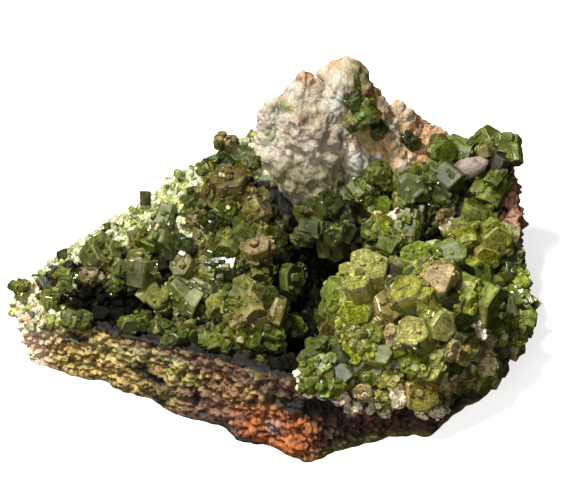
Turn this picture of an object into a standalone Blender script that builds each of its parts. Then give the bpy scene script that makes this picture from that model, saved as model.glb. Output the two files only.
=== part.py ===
"""Pyromorphite on matrix: green hexagonal crystals round a hollow in iron-stained rock.

Shapes are worked out in millimetres, with +Z up and the flat underside on Z = 0, and each
finished mesh is written in metres.
"""

import itertools
import math
import random
from functools import partial

import bmesh
import bpy
import numpy as np
from mathutils import Matrix, Vector

MM = 0.001
GAP = 0.45  # cutters stand this far off the piece that they are grown from
FIT = 0.35  # how far a grown crystal stands off its own faces
FLAT_WITHIN = 2.5  # faces that meet at less than this many degrees are made one

# The host rock. Each row is a station round the outline, from the left tip along the front:
# x and y of the underside, then x, y and height of the rim above it.
OUTLINE = (
    (-36.5, 0.0, -39.8, 1.0, 6.5),
    (-36.0, -4.2, -37.5, -3.0, 7.5),
    (-30.0, -7.0, -30.0, -4.8, 8.5),
    (-21.0, -11.6, -20.0, -9.8, 10.5),
    (-11.0, -17.2, -11.0, -14.3, 12.0),
    (-3.0, -21.8, -1.5, -18.8, 12.5),
    (4.6, -26.2, 4.6, -21.0, 12.5),
    (11.0, -24.2, 11.0, -20.5, 11.0),
    (18.0, -20.8, 18.0, -18.0, 8.0),
    (25.0, -19.0, 25.0, -16.5, 6.0),
    (31.6, -12.8, 31.0, -11.5, 5.0),
    (36.5, -5.8, 36.0, -4.5, 5.0),
    (39.2, 0.5, 38.7, 2.0, 5.5),
    (38.2, 9.0, 38.6, 9.0, 8.5),
    (37.4, 18.0, 38.4, 17.0, 13.0),
    (35.0, 24.5, 36.5, 23.5, 17.0),
    (27.0, 25.0, 28.0, 25.0, 20.0),
    (19.0, 25.0, 19.0, 25.2, 26.0),
    (10.0, 25.2, 11.0, 25.3, 25.0),
    (0.0, 24.0, 1.0, 24.0, 23.0),
    (-11.0, 21.5, -10.0, 19.5, 20.0),
    (-21.0, 17.5, -21.0, 14.3, 15.0),
    (-30.0, 12.5, -31.0, 9.3, 11.0),
    (-35.5, 6.0, -37.5, 4.5, 8.0),
)
# Heights inside the rim: x, y and height.
INNER_HEIGHTS = (
    (-33.0, 1.0, 7.0),
    (-27.0, 7.5, 10.0),
    (-26.0, 0.0, 6.5),
    (-19.0, 6.0, 8.0),
    (-18.0, -1.0, 5.0),
    (-14.0, 12.0, 15.5),
    (-10.0, 5.0, 9.0),
    (-9.0, -4.0, 5.0),
    (-6.0, 14.5, 19.0),
    (-1.0, 9.0, 12.0),
    (0.0, -1.0, 5.0),
    (2.0, -11.0, 5.5),
    (5.0, 17.5, 19.0),
    (7.0, 3.0, 5.0),
    (9.0, -6.0, 5.0),
    (9.0, 13.0, 12.0),
    (14.0, 4.0, 7.0),
    (17.0, 16.0, 17.0),
    (19.0, 9.0, 10.5),
    (20.0, -6.0, 8.0),
    (26.0, 14.0, 14.5),
    (28.0, 2.0, 8.5),
    (33.0, 18.0, 16.0),
    (34.0, 9.0, 11.0),
)
ROCK_CENTRE = (0.0, 1.0)
ROCK_COLUMNS = 56
BASE_RINGS, WALL_RINGS, TOP_RINGS = 1, 9, 10
LEDGE_HEIGHT = 4.4
LEDGE_DEPTH = 2.0
LEDGE_DIP = 0.35  # how steeply the layers run down to the right
LEDGE_FULL = 10.0  # ledges are shallower on walls lower than this
ROCK_LUMP = 15.0  # from one of the rock's lumps to the next
ROCK_RELIEF = 0.7
RELIEF_FROM = 2.0  # the lumps die away below this height
RIPPLE_WAVES = 6
WAVE_LENGTHS = (0.7, 1.6)  # least and most waves in one lump

# The quartz: x, y, z and radius of each lump.
QUARTZ_LUMPS = (
    (5.0, 21.0, 30.6, 4.8),
    (1.5, 20.5, 26.0, 4.8),
    (3.5, 17.0, 20.5, 5.8),
    (10.0, 16.5, 20.0, 5.6),
    (15.5, 20.5, 22.0, 4.8),
    (11.5, 20.9, 32.4, 4.6),
    (8.5, 19.4, 25.0, 5.8),
)
QUARTZ_RELIEF = 1.0
QUARTZ_NODULE = (30.5, 18.5, 19.0)
QUARTZ_NODULE_RADII = (3.4, 1.8, 1.6)
QUARTZ_NODULE_RELIEF = 0.3

CRYSTAL_ACROSS = (4.2, 6.2)
CRYSTAL_RISE = (1.6, 3.2)
CRYSTAL_ROOT = 3.4  # length of crystal below the surface it stands on
CRYSTAL_TAPER = 0.88
CRYSTAL_LEAN = 0.35  # most that a crystal on the ground leans along X and along Y
CRYSTAL_LIFT = 0.2
BALL_LEAN = 0.25
JITTER = 0.25  # share of the spacing that a crystal on the ground moves along X and along Y
PLAN_REACH = 60.0  # crystals are tried this far out from the middle
ROW_STEP = 0.87  # from row to row, against the spacing in a row
PAD_RISE = 1.6  # thickness of the crust that a group of crystals stands on
PAD_ROOT = 3.0
REACH = 2.5  # how far each way a slope is measured
STEEPEST = 0.8  # crystals follow slopes up to this
CRYSTALS_WITHIN = 0.96  # share of the rim's size that crystals and crusts keep inside
DRAW_IN = 0.97  # a crust's point outside it is moved in by this share until it is inside

# Each group of crystals: node name, random seed, spacing and size against the usual, the
# ellipses on plan that its crust covers as x, y, half width and half depth, and its balls of
# crystals as x, y, z, radius of the core, number of crystals and how low they reach, where
# 1 is the ball's top and -1 its bottom.
CRYSTAL_GROUPS = (
    ("knob_crystals", 55, 0, 1.15, (), ((23.0, -9.0, 12.6, 9.8, 36, -0.6),)),
    (
        "hollow_crystals",
        3,
        5.8,
        1.12,
        ((-4.0, -2.5, 13.0, 9.0), (8.0, 8.0, 8.0, 8.5), (6.5, -14.5, 6.5, 4.5)),
        ((-3.4, -3.5, 8.4, 4.4, 9, 0.0), (8.5, 12.0, 13.4, 3.6, 6, 0.1)),
    ),
    (
        "ridge_crystals",
        5,
        5.0,
        1.05,
        ((-6.5, 11.0, 8.0, 8.0), (-15.0, 12.5, 7.0, 3.0), (-16.5, 6.5, 4.5, 4.5)),
        (),
    ),
    (
        "back_shelf_crystals",
        8,
        5.5,
        1.1,
        ((21.0, 10.0, 8.0, 6.5), (27.0, 18.0, 11.0, 6.0)),
        ((19.0, 8.0, 13.6, 3.4, 7, 0.1), (34.5, 20.0, 17.6, 2.6, 5, 0.2)),
    ),
    ("left_ledge_crystals", 13, 5.1, 0.97, ((-27.5, 2.5, 11.5, 6.5),), ()),
    ("right_flank_crystals", 21, 4.5, 0.85, ((35.5, 3.0, 4.5, 8.5),), ()),
    ("front_rim_crystals", 34, 4.3, 0.8, ((-20.0, -7.5, 9.0, 2.6), (-10.0, -12.0, 6.5, 2.6)), ()),
)


def closed_curve(stations, steps):
    """Points of the smooth closed curve through the stations, as a Catmull-Rom spline."""
    stations = np.asarray(stations, float)
    place = np.arange(steps) * len(stations) / steps
    first = np.floor(place).astype(int)
    t = (place - first)[:, None]
    before, start, end, after = (stations[(first + k) % len(stations)] for k in (-1, 0, 1, 2))
    bend = 2 * before - 5 * start + 4 * end - after
    twist = 3 * start - before - 3 * end + after
    return start + 0.5 * t * (end - before + t * (bend + t * twist))


def height_weights(points, heights):
    """Weights that make a sum of distances to the points take the heights there."""
    apart = np.linalg.norm(points[:, None] - points[None], axis=2)
    return np.linalg.solve(apart, heights)


HEIGHT_POINTS = np.array([row[2:5] for row in OUTLINE] + list(INNER_HEIGHTS))
HEIGHT_WEIGHTS = height_weights(HEIGHT_POINTS[:, :2], HEIGHT_POINTS[:, 2])


def ground(x, y):
    """Height of the rock's top over a point of the plan."""
    return float(np.hypot(x - HEIGHT_POINTS[:, 0], y - HEIGHT_POINTS[:, 1]) @ HEIGHT_WEIGHTS)


def ground_normal(x, y):
    """Upward normal of the rock's top, from its slope over a short reach, never very steep."""
    slope_x = (ground(x + REACH, y) - ground(x - REACH, y)) / (2 * REACH)
    slope_y = (ground(x, y + REACH) - ground(x, y - REACH)) / (2 * REACH)
    steep = max(1, math.hypot(slope_x, slope_y) / STEEPEST)
    return Vector((-slope_x / steep, -slope_y / steep, 1)).normalized()


RIM = closed_curve([row[2:4] for row in OUTLINE], ROCK_COLUMNS) - ROCK_CENTRE


def inside_rim(x, y):
    """Whether a point of the plan lies within the rim, drawn in a little."""
    px = (x - ROCK_CENTRE[0]) / CRYSTALS_WITHIN
    py = (y - ROCK_CENTRE[1]) / CRYSTALS_WITHIN
    ends = np.roll(RIM, -1, axis=0)
    crosses = (RIM[:, 1] > py) != (ends[:, 1] > py)
    rise = np.where(ends[:, 1] == RIM[:, 1], 1, ends[:, 1] - RIM[:, 1])
    at = RIM[:, 0] + (py - RIM[:, 1]) / rise * (ends[:, 0] - RIM[:, 0])
    return bool((crosses & (px < at)).sum() % 2)


def ripple_waves():
    """Direction and phase of the waves that ripples along X, Y and Z are summed from."""
    draw = random.Random(1)
    waves = []
    for _ in range(3 * RIPPLE_WAVES):
        way = Vector(draw.gauss(0, 1) for _ in range(3)).normalized()
        waves.append((way * draw.uniform(*WAVE_LENGTHS), draw.uniform(0, math.tau)))
    return waves


WAVES = ripple_waves()


def ripple(place, size):
    """A smooth uneven push at this place, about 1 long, in lumps of this size."""
    swell = [math.sin(math.tau * place.dot(way) / size + phase) for way, phase in WAVES]
    return Vector(sum(swell[axis::3]) for axis in range(3)) / math.sqrt(RIPPLE_WAVES)


def lumpy(place):
    """The place moved by the rock's lumps, which die away at the underside."""
    share = max(0, min(1, place.z / RELIEF_FROM))
    return place + ripple(place, ROCK_LUMP) * ROCK_RELIEF * share


def rock_point(column, ring, stations):
    """Where a point of the rock's grid goes: ring 0 is the middle of the top."""
    base_x, base_y, rim_x, rim_y, rim_z = map(float, stations[column])
    if ring <= TOP_RINGS:
        share = ring / TOP_RINGS
        x = ROCK_CENTRE[0] + share * (rim_x - ROCK_CENTRE[0])
        y = ROCK_CENTRE[1] + share * (rim_y - ROCK_CENTRE[1])
        return Vector((x, y, ground(x, y) if ring < TOP_RINGS else rim_z))
    if ring <= TOP_RINGS + WALL_RINGS:
        share = (ring - TOP_RINGS) / WALL_RINGS
        x = rim_x + share * (base_x - rim_x)
        y = rim_y + share * (base_y - rim_y)
        z = rim_z * (1 - share)
        layer = ((z + LEDGE_DIP * x) / LEDGE_HEIGHT) % 1
        step = LEDGE_DEPTH * min(1, rim_z / LEDGE_FULL) * (layer - 0.5) * math.sin(math.pi * share)
        along = stations[(column + 1) % ROCK_COLUMNS] - stations[column - 1]
        outward = Vector((along[1], -along[0], 0)).normalized()
        return Vector((x, y, z)) + step * outward
    share = (ring - TOP_RINGS - WALL_RINGS) / BASE_RINGS
    return Vector((base_x * (1 - share), base_y * (1 - share), 0))


def rock_mesh():
    """The rock: a sphere's grid carried onto the top, the wall and the flat underside."""
    rings = TOP_RINGS + WALL_RINGS + BASE_RINGS
    stations = closed_curve(OUTLINE, ROCK_COLUMNS)
    shape = bmesh.new()
    bmesh.ops.create_uvsphere(shape, u_segments=ROCK_COLUMNS, v_segments=rings, radius=1)
    for vert in shape.verts:
        ring = round(math.acos(max(-1, min(1, vert.co.z))) / math.pi * rings)
        turn = math.atan2(vert.co.y, vert.co.x) / math.tau
        # The stations start at the left tip and run anticlockwise seen from above.
        column = round((turn + 0.5) * ROCK_COLUMNS) % ROCK_COLUMNS
        place = rock_point(column, ring, stations)
        if 0 < ring < TOP_RINGS + WALL_RINGS:
            place = lumpy(place)
        vert.co = place
    bmesh.ops.recalc_face_normals(shape, faces=shape.faces)
    return shape


def grown(shape, by):
    """The shape with each point moved out along its normal."""
    shape.normal_update()
    moves = [(vert, vert.normal * by) for vert in shape.verts]
    for vert, move in moves:
        vert.co += move
    return shape


def crystal_shape(foot, axis, across, length, spin, grow=0.0):
    """A six-sided prism, a little narrower at its outer end, that starts at foot."""
    shape = bmesh.new()
    radius = across / 2 + grow
    full = length + 2 * grow
    middle = Vector(foot) + Vector(axis) * length / 2
    turn = Vector(axis).to_track_quat("Z", "Y").to_matrix().to_4x4()
    bmesh.ops.create_cone(
        shape,
        cap_ends=True,
        segments=6,
        radius1=radius,
        radius2=radius * CRYSTAL_TAPER,
        depth=full,
        matrix=Matrix.Translation(middle) @ turn @ Matrix.Rotation(spin, 4, "Z"),
    )
    return shape


def lump_shape(centre, radii, subdivisions, relief, grow=0.0):
    """A rounded lump with a rough surface."""
    shape = bmesh.new()
    made = bmesh.ops.create_icosphere(shape, subdivisions=subdivisions, radius=1)
    for vert in made["verts"]:
        way = vert.co.copy()
        point = Vector(centre) + Vector(way[k] * radii[k] for k in range(3))
        rough = relief * ripple(point, max(radii) * 1.6).x
        vert.co = point + way * (rough + grow)
    return shape


def pad_shape(patch, grow=0.0):
    """A lens-shaped crust over an ellipse of the plan, which follows the ground."""
    x_middle, y_middle, half_x, half_y = patch
    shape = bmesh.new()
    made = bmesh.ops.create_uvsphere(shape, u_segments=9, v_segments=4, radius=1)
    for vert in made["verts"]:
        x = x_middle + vert.co.x * (half_x + grow)
        y = y_middle + vert.co.y * (half_y + grow)
        while not inside_rim(x, y):
            x = ROCK_CENTRE[0] + DRAW_IN * (x - ROCK_CENTRE[0])
            y = ROCK_CENTRE[1] + DRAW_IN * (y - ROCK_CENTRE[1])
        thick = PAD_RISE + grow if vert.co.z > 0 else PAD_ROOT
        vert.co = lumpy(Vector((x, y, ground(x, y)))) + Vector((0, 0, thick * vert.co.z))
    bmesh.ops.triangulate(shape, faces=shape.faces)
    return shape


def mesh_object(name, shape, collection):
    """A new object that holds the shape, in metres."""
    bmesh.ops.scale(shape, vec=(MM, MM, MM), verts=shape.verts)
    mesh = bpy.data.meshes.new(name)
    shape.to_mesh(mesh)
    shape.free()
    made = bpy.data.objects.new(name, mesh)
    collection.objects.link(made)
    return made


def combine(piece, operation, others):
    """Joins or cuts the piece with other objects, and keeps the result as its mesh."""
    for other in others:
        step = piece.modifiers.new(operation.title(), "BOOLEAN")
        step.solver = "MANIFOLD"
        step.operation = operation
        step.object = other
    graph = bpy.context.evaluated_depsgraph_get()
    mesh = bpy.data.meshes.new_from_object(piece.evaluated_get(graph))
    piece.modifiers.clear()
    piece.data = mesh


def joined(name, shapes, collection):
    """One object that holds the union of the shapes."""
    piece = mesh_object(name, shapes[0], collection)
    others = [mesh_object(name + "_part", shape, collection) for shape in shapes[1:]]
    combine(piece, "UNION", others)
    for other in others:
        bpy.data.objects.remove(other)
    return piece


def cutter(name, shapes):
    """A helper object, drawn as wire and left out of renders."""
    made = joined(name, shapes, CUTTERS)
    made.hide_render = True
    made.display_type = "WIRE"
    return made


def keep_largest(piece):
    """Leaves only the largest connected body, with its flat faces made whole."""
    shape = bmesh.new()
    shape.from_mesh(piece.data)
    bodies = []
    left = set(shape.verts)
    while left:
        found = [left.pop()]
        for vert in found:
            near = {edge.other_vert(vert) for edge in vert.link_edges} & left
            left -= near
            found.extend(near)
        bodies.append(found)
    bodies.sort(key=len)
    for body in bodies[:-1]:
        bmesh.ops.delete(shape, geom=body, context="VERTS")
    bmesh.ops.dissolve_limit(
        shape, angle_limit=math.radians(FLAT_WITHIN), verts=shape.verts, edges=shape.edges
    )
    bmesh.ops.triangulate(shape, faces=shape.faces)
    shape.to_mesh(piece.data)
    shape.free()


def material(name, colour, roughness):
    """A plain material of this colour and roughness."""
    made = bpy.data.materials.new(name)
    made.use_nodes = True
    shader = made.node_tree.nodes["Principled BSDF"]
    shader.inputs["Base Color"].default_value = (*colour, 1)
    shader.inputs["Roughness"].default_value = roughness
    shader.inputs["Metallic"].default_value = 0
    return made


def patch_crystals(draw, spacing, scale, patches):
    """Crystals on a jittered triangular grid over the patches, standing on the ground."""
    crystals = []
    if not spacing:
        return crystals
    rows = int(PLAN_REACH / (spacing * ROW_STEP))
    steps = int(PLAN_REACH / spacing)
    for row, step in itertools.product(range(-rows, rows + 1), range(-steps, steps + 1)):
        x = (step + 0.5 * (row % 2) + draw.uniform(-JITTER, JITTER)) * spacing
        y = (row * ROW_STEP + draw.uniform(-JITTER, JITTER)) * spacing
        across = draw.uniform(*CRYSTAL_ACROSS) * scale
        rise = draw.uniform(*CRYSTAL_RISE) * scale
        lean_x = draw.uniform(-CRYSTAL_LEAN, CRYSTAL_LEAN)
        lean_y = draw.uniform(-CRYSTAL_LEAN, CRYSTAL_LEAN)
        spin = draw.uniform(0, math.tau / 6)
        covered = any(
            math.hypot((x - px) / half_x, (y - py) / half_y) < 1
            for px, py, half_x, half_y in patches
        )
        if covered and inside_rim(x, y):
            axis = (ground_normal(x, y) + Vector((lean_x, lean_y, CRYSTAL_LIFT))).normalized()
            foot = lumpy(Vector((x, y, ground(x, y)))) - axis * CRYSTAL_ROOT
            crystals.append((foot, axis, across, CRYSTAL_ROOT + rise, spin))
    return crystals


def ball_crystals(draw, scale, ball):
    """Crystals that point outwards all over a ball, on a spiral from its top down."""
    x, y, z, core, count, lowest = ball
    golden = math.pi * (3 - math.sqrt(5))
    crystals = []
    for k in range(count):
        high = 1 - (k + 0.5) / count * (1 - lowest)
        side = math.sqrt(1 - high * high)
        out = Vector((side * math.cos(golden * k), side * math.sin(golden * k), high))
        lean = Vector(draw.uniform(-BALL_LEAN, BALL_LEAN) for _ in range(3))
        axis = (out + lean).normalized()
        across = draw.uniform(*CRYSTAL_ACROSS) * scale
        foot = Vector((x, y, z)) + out * (core - CRYSTAL_ROOT)
        length = CRYSTAL_ROOT + draw.uniform(*CRYSTAL_RISE)
        crystals.append((foot, axis, across, length, draw.uniform(0, math.tau / 6)))
    return crystals


def group_shapes(group, grow=0.0):
    """All the crystals of a group, with the crust and cores that they stand on."""
    _, seed, spacing, scale, patches, balls = group
    draw = random.Random(seed)
    crystals = patch_crystals(draw, spacing, scale, patches)
    for ball in balls:
        crystals += ball_crystals(draw, scale, ball)
    shapes = [pad_shape(patch, grow) for patch in patches]
    shapes += [lump_shape(ball[:3], (ball[3],) * 3, 1, 0.0, grow) for ball in balls]
    return shapes + [crystal_shape(*crystal, grow=grow) for crystal in crystals]


def quartz_shapes(grow=0.0):
    """The lumps of the quartz peak, which run into each other."""
    return [lump_shape(lump[:3], (lump[3],) * 3, 2, QUARTZ_RELIEF, grow) for lump in QUARTZ_LUMPS]


def nodule_shapes(grow=0.0):
    """The bean-shaped quartz pebble."""
    return [lump_shape(QUARTZ_NODULE, QUARTZ_NODULE_RADII, 2, QUARTZ_NODULE_RELIEF, grow)]


def boxes_meet(one, other):
    """Whether the boxes of two objects overlap."""
    first, second = np.array(one.bound_box), np.array(other.bound_box)
    return bool((first.max(0) > second.min(0)).all() and (second.max(0) > first.min(0)).all())


for old in list(bpy.data.objects):
    bpy.data.objects.remove(old)
SPECIMEN = bpy.data.collections.new("pyromorphite_specimen")
CUTTERS = bpy.data.collections.new("cutters")
bpy.context.scene.collection.children.link(SPECIMEN)
bpy.context.scene.collection.children.link(CUTTERS)

LIMONITE = material("limonite_rock", (0.16, 0.085, 0.04), 0.85)
QUARTZ = material("granular_quartz", (0.62, 0.52, 0.46), 0.6)
PYROMORPHITE = material("pyromorphite", (0.14, 0.2, 0.02), 0.3)

rock = mesh_object("matrix_rock", rock_mesh(), SPECIMEN)
rock.data.materials.append(LIMONITE)
rock_cutter = cutter("rock_grown", [grown(rock_mesh(), GAP)])

makers = [("quartz_mass", quartz_shapes, QUARTZ), ("quartz_nodule", nodule_shapes, QUARTZ)]
for group in CRYSTAL_GROUPS:
    makers.append((group[0], partial(group_shapes, group), PYROMORPHITE))
standing = [rock_cutter, rock]
for name, shapes_of, finish in makers:
    piece = joined(name, shapes_of(), SPECIMEN)
    combine(piece, "DIFFERENCE", [earlier for earlier in standing if boxes_meet(piece, earlier)])
    keep_largest(piece)
    piece.data.materials.clear()
    piece.data.materials.append(finish)
    standing.append(cutter(name + "_grown", shapes_of(FIT)))
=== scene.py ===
"""Looks of a pyromorphite specimen: green crystals round a dark hollow in iron-stained rock.

Shapes are worked out in millimetres, with +Z up, and each mesh is written in metres. The photograph looks
along +Y and down at it.
"""

import bpy
import numpy as np
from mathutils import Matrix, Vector


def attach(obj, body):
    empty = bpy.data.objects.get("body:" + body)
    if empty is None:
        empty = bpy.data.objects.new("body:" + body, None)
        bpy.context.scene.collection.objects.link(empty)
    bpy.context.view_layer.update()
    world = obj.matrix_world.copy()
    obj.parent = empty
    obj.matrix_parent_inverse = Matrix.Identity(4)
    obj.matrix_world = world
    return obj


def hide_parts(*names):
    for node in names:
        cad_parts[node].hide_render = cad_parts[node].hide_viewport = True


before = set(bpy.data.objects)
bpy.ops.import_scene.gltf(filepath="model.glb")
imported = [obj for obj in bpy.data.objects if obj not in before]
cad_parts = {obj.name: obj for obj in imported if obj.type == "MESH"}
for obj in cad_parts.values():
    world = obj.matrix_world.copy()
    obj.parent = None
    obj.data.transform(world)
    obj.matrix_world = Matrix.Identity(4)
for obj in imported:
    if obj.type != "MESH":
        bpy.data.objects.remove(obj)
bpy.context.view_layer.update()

# Camera, light and floor. The specimen stands on white card, seen from the front and above, under a strong
# light from the upper left, a weak broad one from the front, and a little light from all round.

PHOTO_WIDE, PHOTO_HIGH = 561, 479
PIXEL = 0.154  # mm across the specimen that one pixel of the photograph covers
SENSOR = 36.0
CAMERA_AWAY = 3000.0
AIM = np.array((1.6, 11.0, 11.0))
FORWARD = np.array((0.0, 1.0, -1.0)) / np.sqrt(2)
RIGHT = np.array((1.0, 0.0, 0.0))
UP = np.array((0.0, 1.0, 1.0)) / np.sqrt(2)
SUNS = (  # towards the light, its strength, and its width in degrees
    ((-0.36, -0.05, 0.93), 4.5, 13.0),
    ((-0.3, -0.8, 0.5), 0.95, 40.0),
)
SKY_STRENGTH = 0.15
SUN_COLOUR = (1.0, 0.98, 0.94)
FLOOR_SIDE = 900.0
FLOOR_GLOW = 0.72


def linear(colour):
    """Red, green and blue in linear light of an sRGB hex colour."""
    parts = np.array([int(colour[k : k + 2], 16) for k in (1, 3, 5)]) / 255
    return np.where(parts <= 0.04045, parts / 12.92, ((parts + 0.055) / 1.055) ** 2.4)


def rgba(colour):
    """The hex colour as the four numbers that a socket takes."""
    return (*linear(colour), 1.0)


def node(tree, kind, settings=None, **links):
    """Adds a node of this kind. Settings are its properties and, by socket name or number, its inputs, each a
    constant or the output that feeds it. Each link is an input that an output feeds, with _ for a space."""
    made = tree.nodes.new(kind)
    for key, value in (settings or {}).items():
        if isinstance(value, bpy.types.NodeSocket):
            tree.links.new(value, made.inputs[key])
        elif isinstance(key, int) or key in made.inputs:
            made.inputs[key].default_value = value
        else:
            setattr(made, key, value)
    for name, source in links.items():
        tree.links.new(source, made.inputs[name.replace("_", " ")])
    return made


def new_material(name):
    """A material with an empty tree and its output."""
    made = bpy.data.materials.new(name)
    made.use_nodes = True
    made.node_tree.nodes.clear()
    return made, made.node_tree


def finish_material(tree, shader):
    """Links the shader to a material's output."""
    node(tree, "ShaderNodeOutputMaterial", Surface=shader.outputs[0])


def mesh_piece(name, points, faces, smooth, sizes=None):
    """A new object with points in mm. Faces are one array of corners, with the number of corners of each face
    in sizes, or all quads where that is left out."""
    corners = np.asarray(faces, np.int32).ravel()
    if sizes is None:
        sizes = np.full(len(corners) // 4, 4)
    mesh = bpy.data.meshes.new(name)
    mesh.vertices.add(len(points))
    mesh.vertices.foreach_set("co", (np.asarray(points, np.float32) / 1000).ravel())
    mesh.loops.add(len(corners))
    mesh.loops.foreach_set("vertex_index", corners)
    mesh.polygons.add(len(sizes))
    mesh.polygons.foreach_set("loop_start", np.concatenate(([0], np.cumsum(sizes)[:-1])).astype(np.int32))
    mesh.update(calc_edges=True)
    mesh.validate()
    if smooth:
        mesh.shade_smooth()
    else:
        mesh.shade_flat()
    made = bpy.data.objects.new(name, mesh)
    bpy.context.scene.collection.objects.link(made)
    return made


scene = bpy.context.scene
scene.view_settings.view_transform = "Standard"
scene.view_settings.look = "None"
camera_data = bpy.data.cameras.new("camera")
camera_data.sensor_width = SENSOR
camera_data.lens = SENSOR * CAMERA_AWAY / (PHOTO_WIDE * PIXEL)
camera_data.clip_start = 0.1
camera_data.clip_end = 20.0
camera = bpy.data.objects.new("camera", camera_data)
camera.location = (AIM - FORWARD * CAMERA_AWAY) / 1000
camera.rotation_euler = (np.pi / 4, 0, 0)
scene.collection.objects.link(camera)
scene.camera = camera

for number, (way, strength, width) in enumerate(SUNS):
    sun_data = bpy.data.lights.new(f"window_light_{number}", "SUN")
    sun_data.energy = strength
    sun_data.angle = np.radians(width)
    sun_data.color = SUN_COLOUR
    sun = bpy.data.objects.new(sun_data.name, sun_data)
    sun.rotation_mode = "QUATERNION"
    sun.rotation_quaternion = Vector(way).to_track_quat("Z", "Y")
    scene.collection.objects.link(sun)

# The light from all round comes almost only from above, so that hollows and overhangs stay dark.
world = bpy.data.worlds.new("room")
world.use_nodes = True
sky = world.node_tree
sky.nodes.clear()
sky_way = node(sky, "ShaderNodeTexCoord")
sky_height = node(sky, "ShaderNodeSeparateXYZ", Vector=sky_way.outputs["Generated"])
sky_ramp = node(sky, "ShaderNodeValToRGB", Fac=sky_height.outputs["Z"])
sky_ramp.color_ramp.elements[0].position = 0.1
sky_ramp.color_ramp.elements[0].color = (0.03, 0.03, 0.03, 1)
sky_ramp.color_ramp.elements[1].position = 0.75
sky_ramp.color_ramp.elements[1].color = (1, 1, 1, 1)
sky_light = node(sky, "ShaderNodeBackground", {"Strength": SKY_STRENGTH}, Color=sky_ramp.outputs["Color"])
node(sky, "ShaderNodeOutputWorld", Surface=sky_light.outputs[0])
scene.world = world

floor_corners = np.array(((-1, -1, 0), (1, -1, 0), (1, 1, 0), (-1, 1, 0))) * FLOOR_SIDE / 2
floor = mesh_piece("floor", floor_corners, [0, 1, 2, 3], smooth=False)

# Matt white card with a faint grain. Its glow stands for the light of a bright room, and keeps it white.
card, tree = new_material("matt_white_card")
place = node(tree, "ShaderNodeTexCoord")
card_grain = node(
    tree,
    "ShaderNodeTexNoise",
    {"Scale": 1000.0, "Detail": 2.0},
    Vector=place.outputs["Object"],
)
card_bump = node(
    tree,
    "ShaderNodeBump",
    {"Strength": 0.05, "Distance": 0.0002},
    Height=card_grain.outputs["Fac"],
)
card_shader = node(
    tree,
    "ShaderNodeBsdfPrincipled",
    {
        "Base Color": rgba("#f4f3f1"),
        "Roughness": 0.8,
        "Emission Color": (1, 1, 1, 1),
        "Emission Strength": FLOOR_GLOW,
    },
    Normal=card_bump.outputs["Normal"],
)
finish_material(tree, card_shader)
floor.data.materials.append(card)
floor.visible_diffuse = False
floor.visible_glossy = False

# The host rock. Limonite and clay that iron has stained ochre, rust and black, broken in thin crooked layers
# on the front, sugary and pale green on the back left slope, and dug into a dark hollow in the middle. It
# rests on its flat broken underside, and the quartz and the crystals have grown on it.

# Each row is a station round the outline, from the left tip along the front: x and y of the underside, then
# x, y and height of the rim above it.
OUTLINE = (
    (-36.5, 0.0, -39.8, 1.0, 6.5),
    (-36.0, -4.2, -37.5, -3.0, 7.5),
    (-30.0, -7.0, -30.0, -4.8, 8.5),
    (-21.0, -11.6, -20.0, -9.8, 10.5),
    (-11.0, -17.2, -11.0, -14.3, 12.0),
    (-3.0, -21.8, -1.5, -18.8, 12.5),
    (4.6, -26.2, 4.6, -21.0, 12.5),
    (11.0, -24.2, 11.0, -20.5, 11.0),
    (18.0, -20.8, 18.0, -18.0, 8.0),
    (25.0, -19.0, 25.0, -16.5, 6.0),
    (31.6, -12.8, 31.0, -11.5, 5.0),
    (36.5, -5.8, 36.0, -4.5, 5.0),
    (39.2, 0.5, 38.7, 2.0, 5.5),
    (38.2, 9.0, 38.6, 9.0, 8.5),
    (37.4, 18.0, 38.4, 17.0, 13.0),
    (35.0, 24.5, 36.5, 23.5, 17.0),
    (27.0, 25.0, 28.0, 25.0, 20.0),
    (19.0, 25.0, 19.0, 25.2, 26.0),
    (10.0, 25.2, 11.0, 25.3, 25.0),
    (0.0, 24.0, 1.0, 24.0, 23.0),
    (-11.0, 21.5, -10.0, 19.5, 20.0),
    (-21.0, 17.5, -21.0, 14.3, 15.0),
    (-30.0, 12.5, -31.0, 9.3, 11.0),
    (-35.5, 6.0, -37.5, 4.5, 8.0),
)
# Heights inside the rim: x, y and height.
INNER_HEIGHTS = (
    (-33, 1, 7),
    (-27, 7.5, 10),
    (-26, 0, 6.5),
    (-19, 6, 8),
    (-18, -1, 5),
    (-14, 12, 15.5),
    (-10, 5, 9),
    (-9, -4, 5),
    (-6, 14.5, 19),
    (-1, 9, 12),
    (0, -1, 5),
    (2, -11, 5.5),
    (5, 17.5, 19),
    (7, 3, 5),
    (9, -6, 5),
    (9, 13, 12),
    (14, 4, 7),
    (17, 16, 17),
    (19, 9, 10.5),
    (20, -6, 8),
    (26, 14, 14.5),
    (28, 2, 8.5),
    (33, 18, 16),
    (34, 9, 11),
)
# The hollow and the gaps between clumps: x and y of the middle, half width, half depth, and how deep they go
# below those heights.
PITS = (
    (7.0, 6.0, 6.0, 7.5, 4.5),
    (6.5, -5.0, 4.5, 10.0, 3.8),
    (-21.0, 0.5, 9.0, 3.2, 3.2),
    (-10.5, 0.5, 3.5, 3.0, 2.0),
    (25.0, 7.5, 4.0, 3.5, 4.0),
    (13.0, 11.0, 2.5, 3.0, 2.5),
    (28.0, 13.0, 4.0, 2.0, 2.0),
)
LOWEST_GROUND = 2.6
ROCK_CENTRE = np.array((0.0, 1.0))
# The grid's columns round the rock, and its rows down the wall and from the middle of the top out to the rim.
ROCK_COLUMNS, WALL_ROWS, TOP_ROWS = 600, 56, 92
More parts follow.
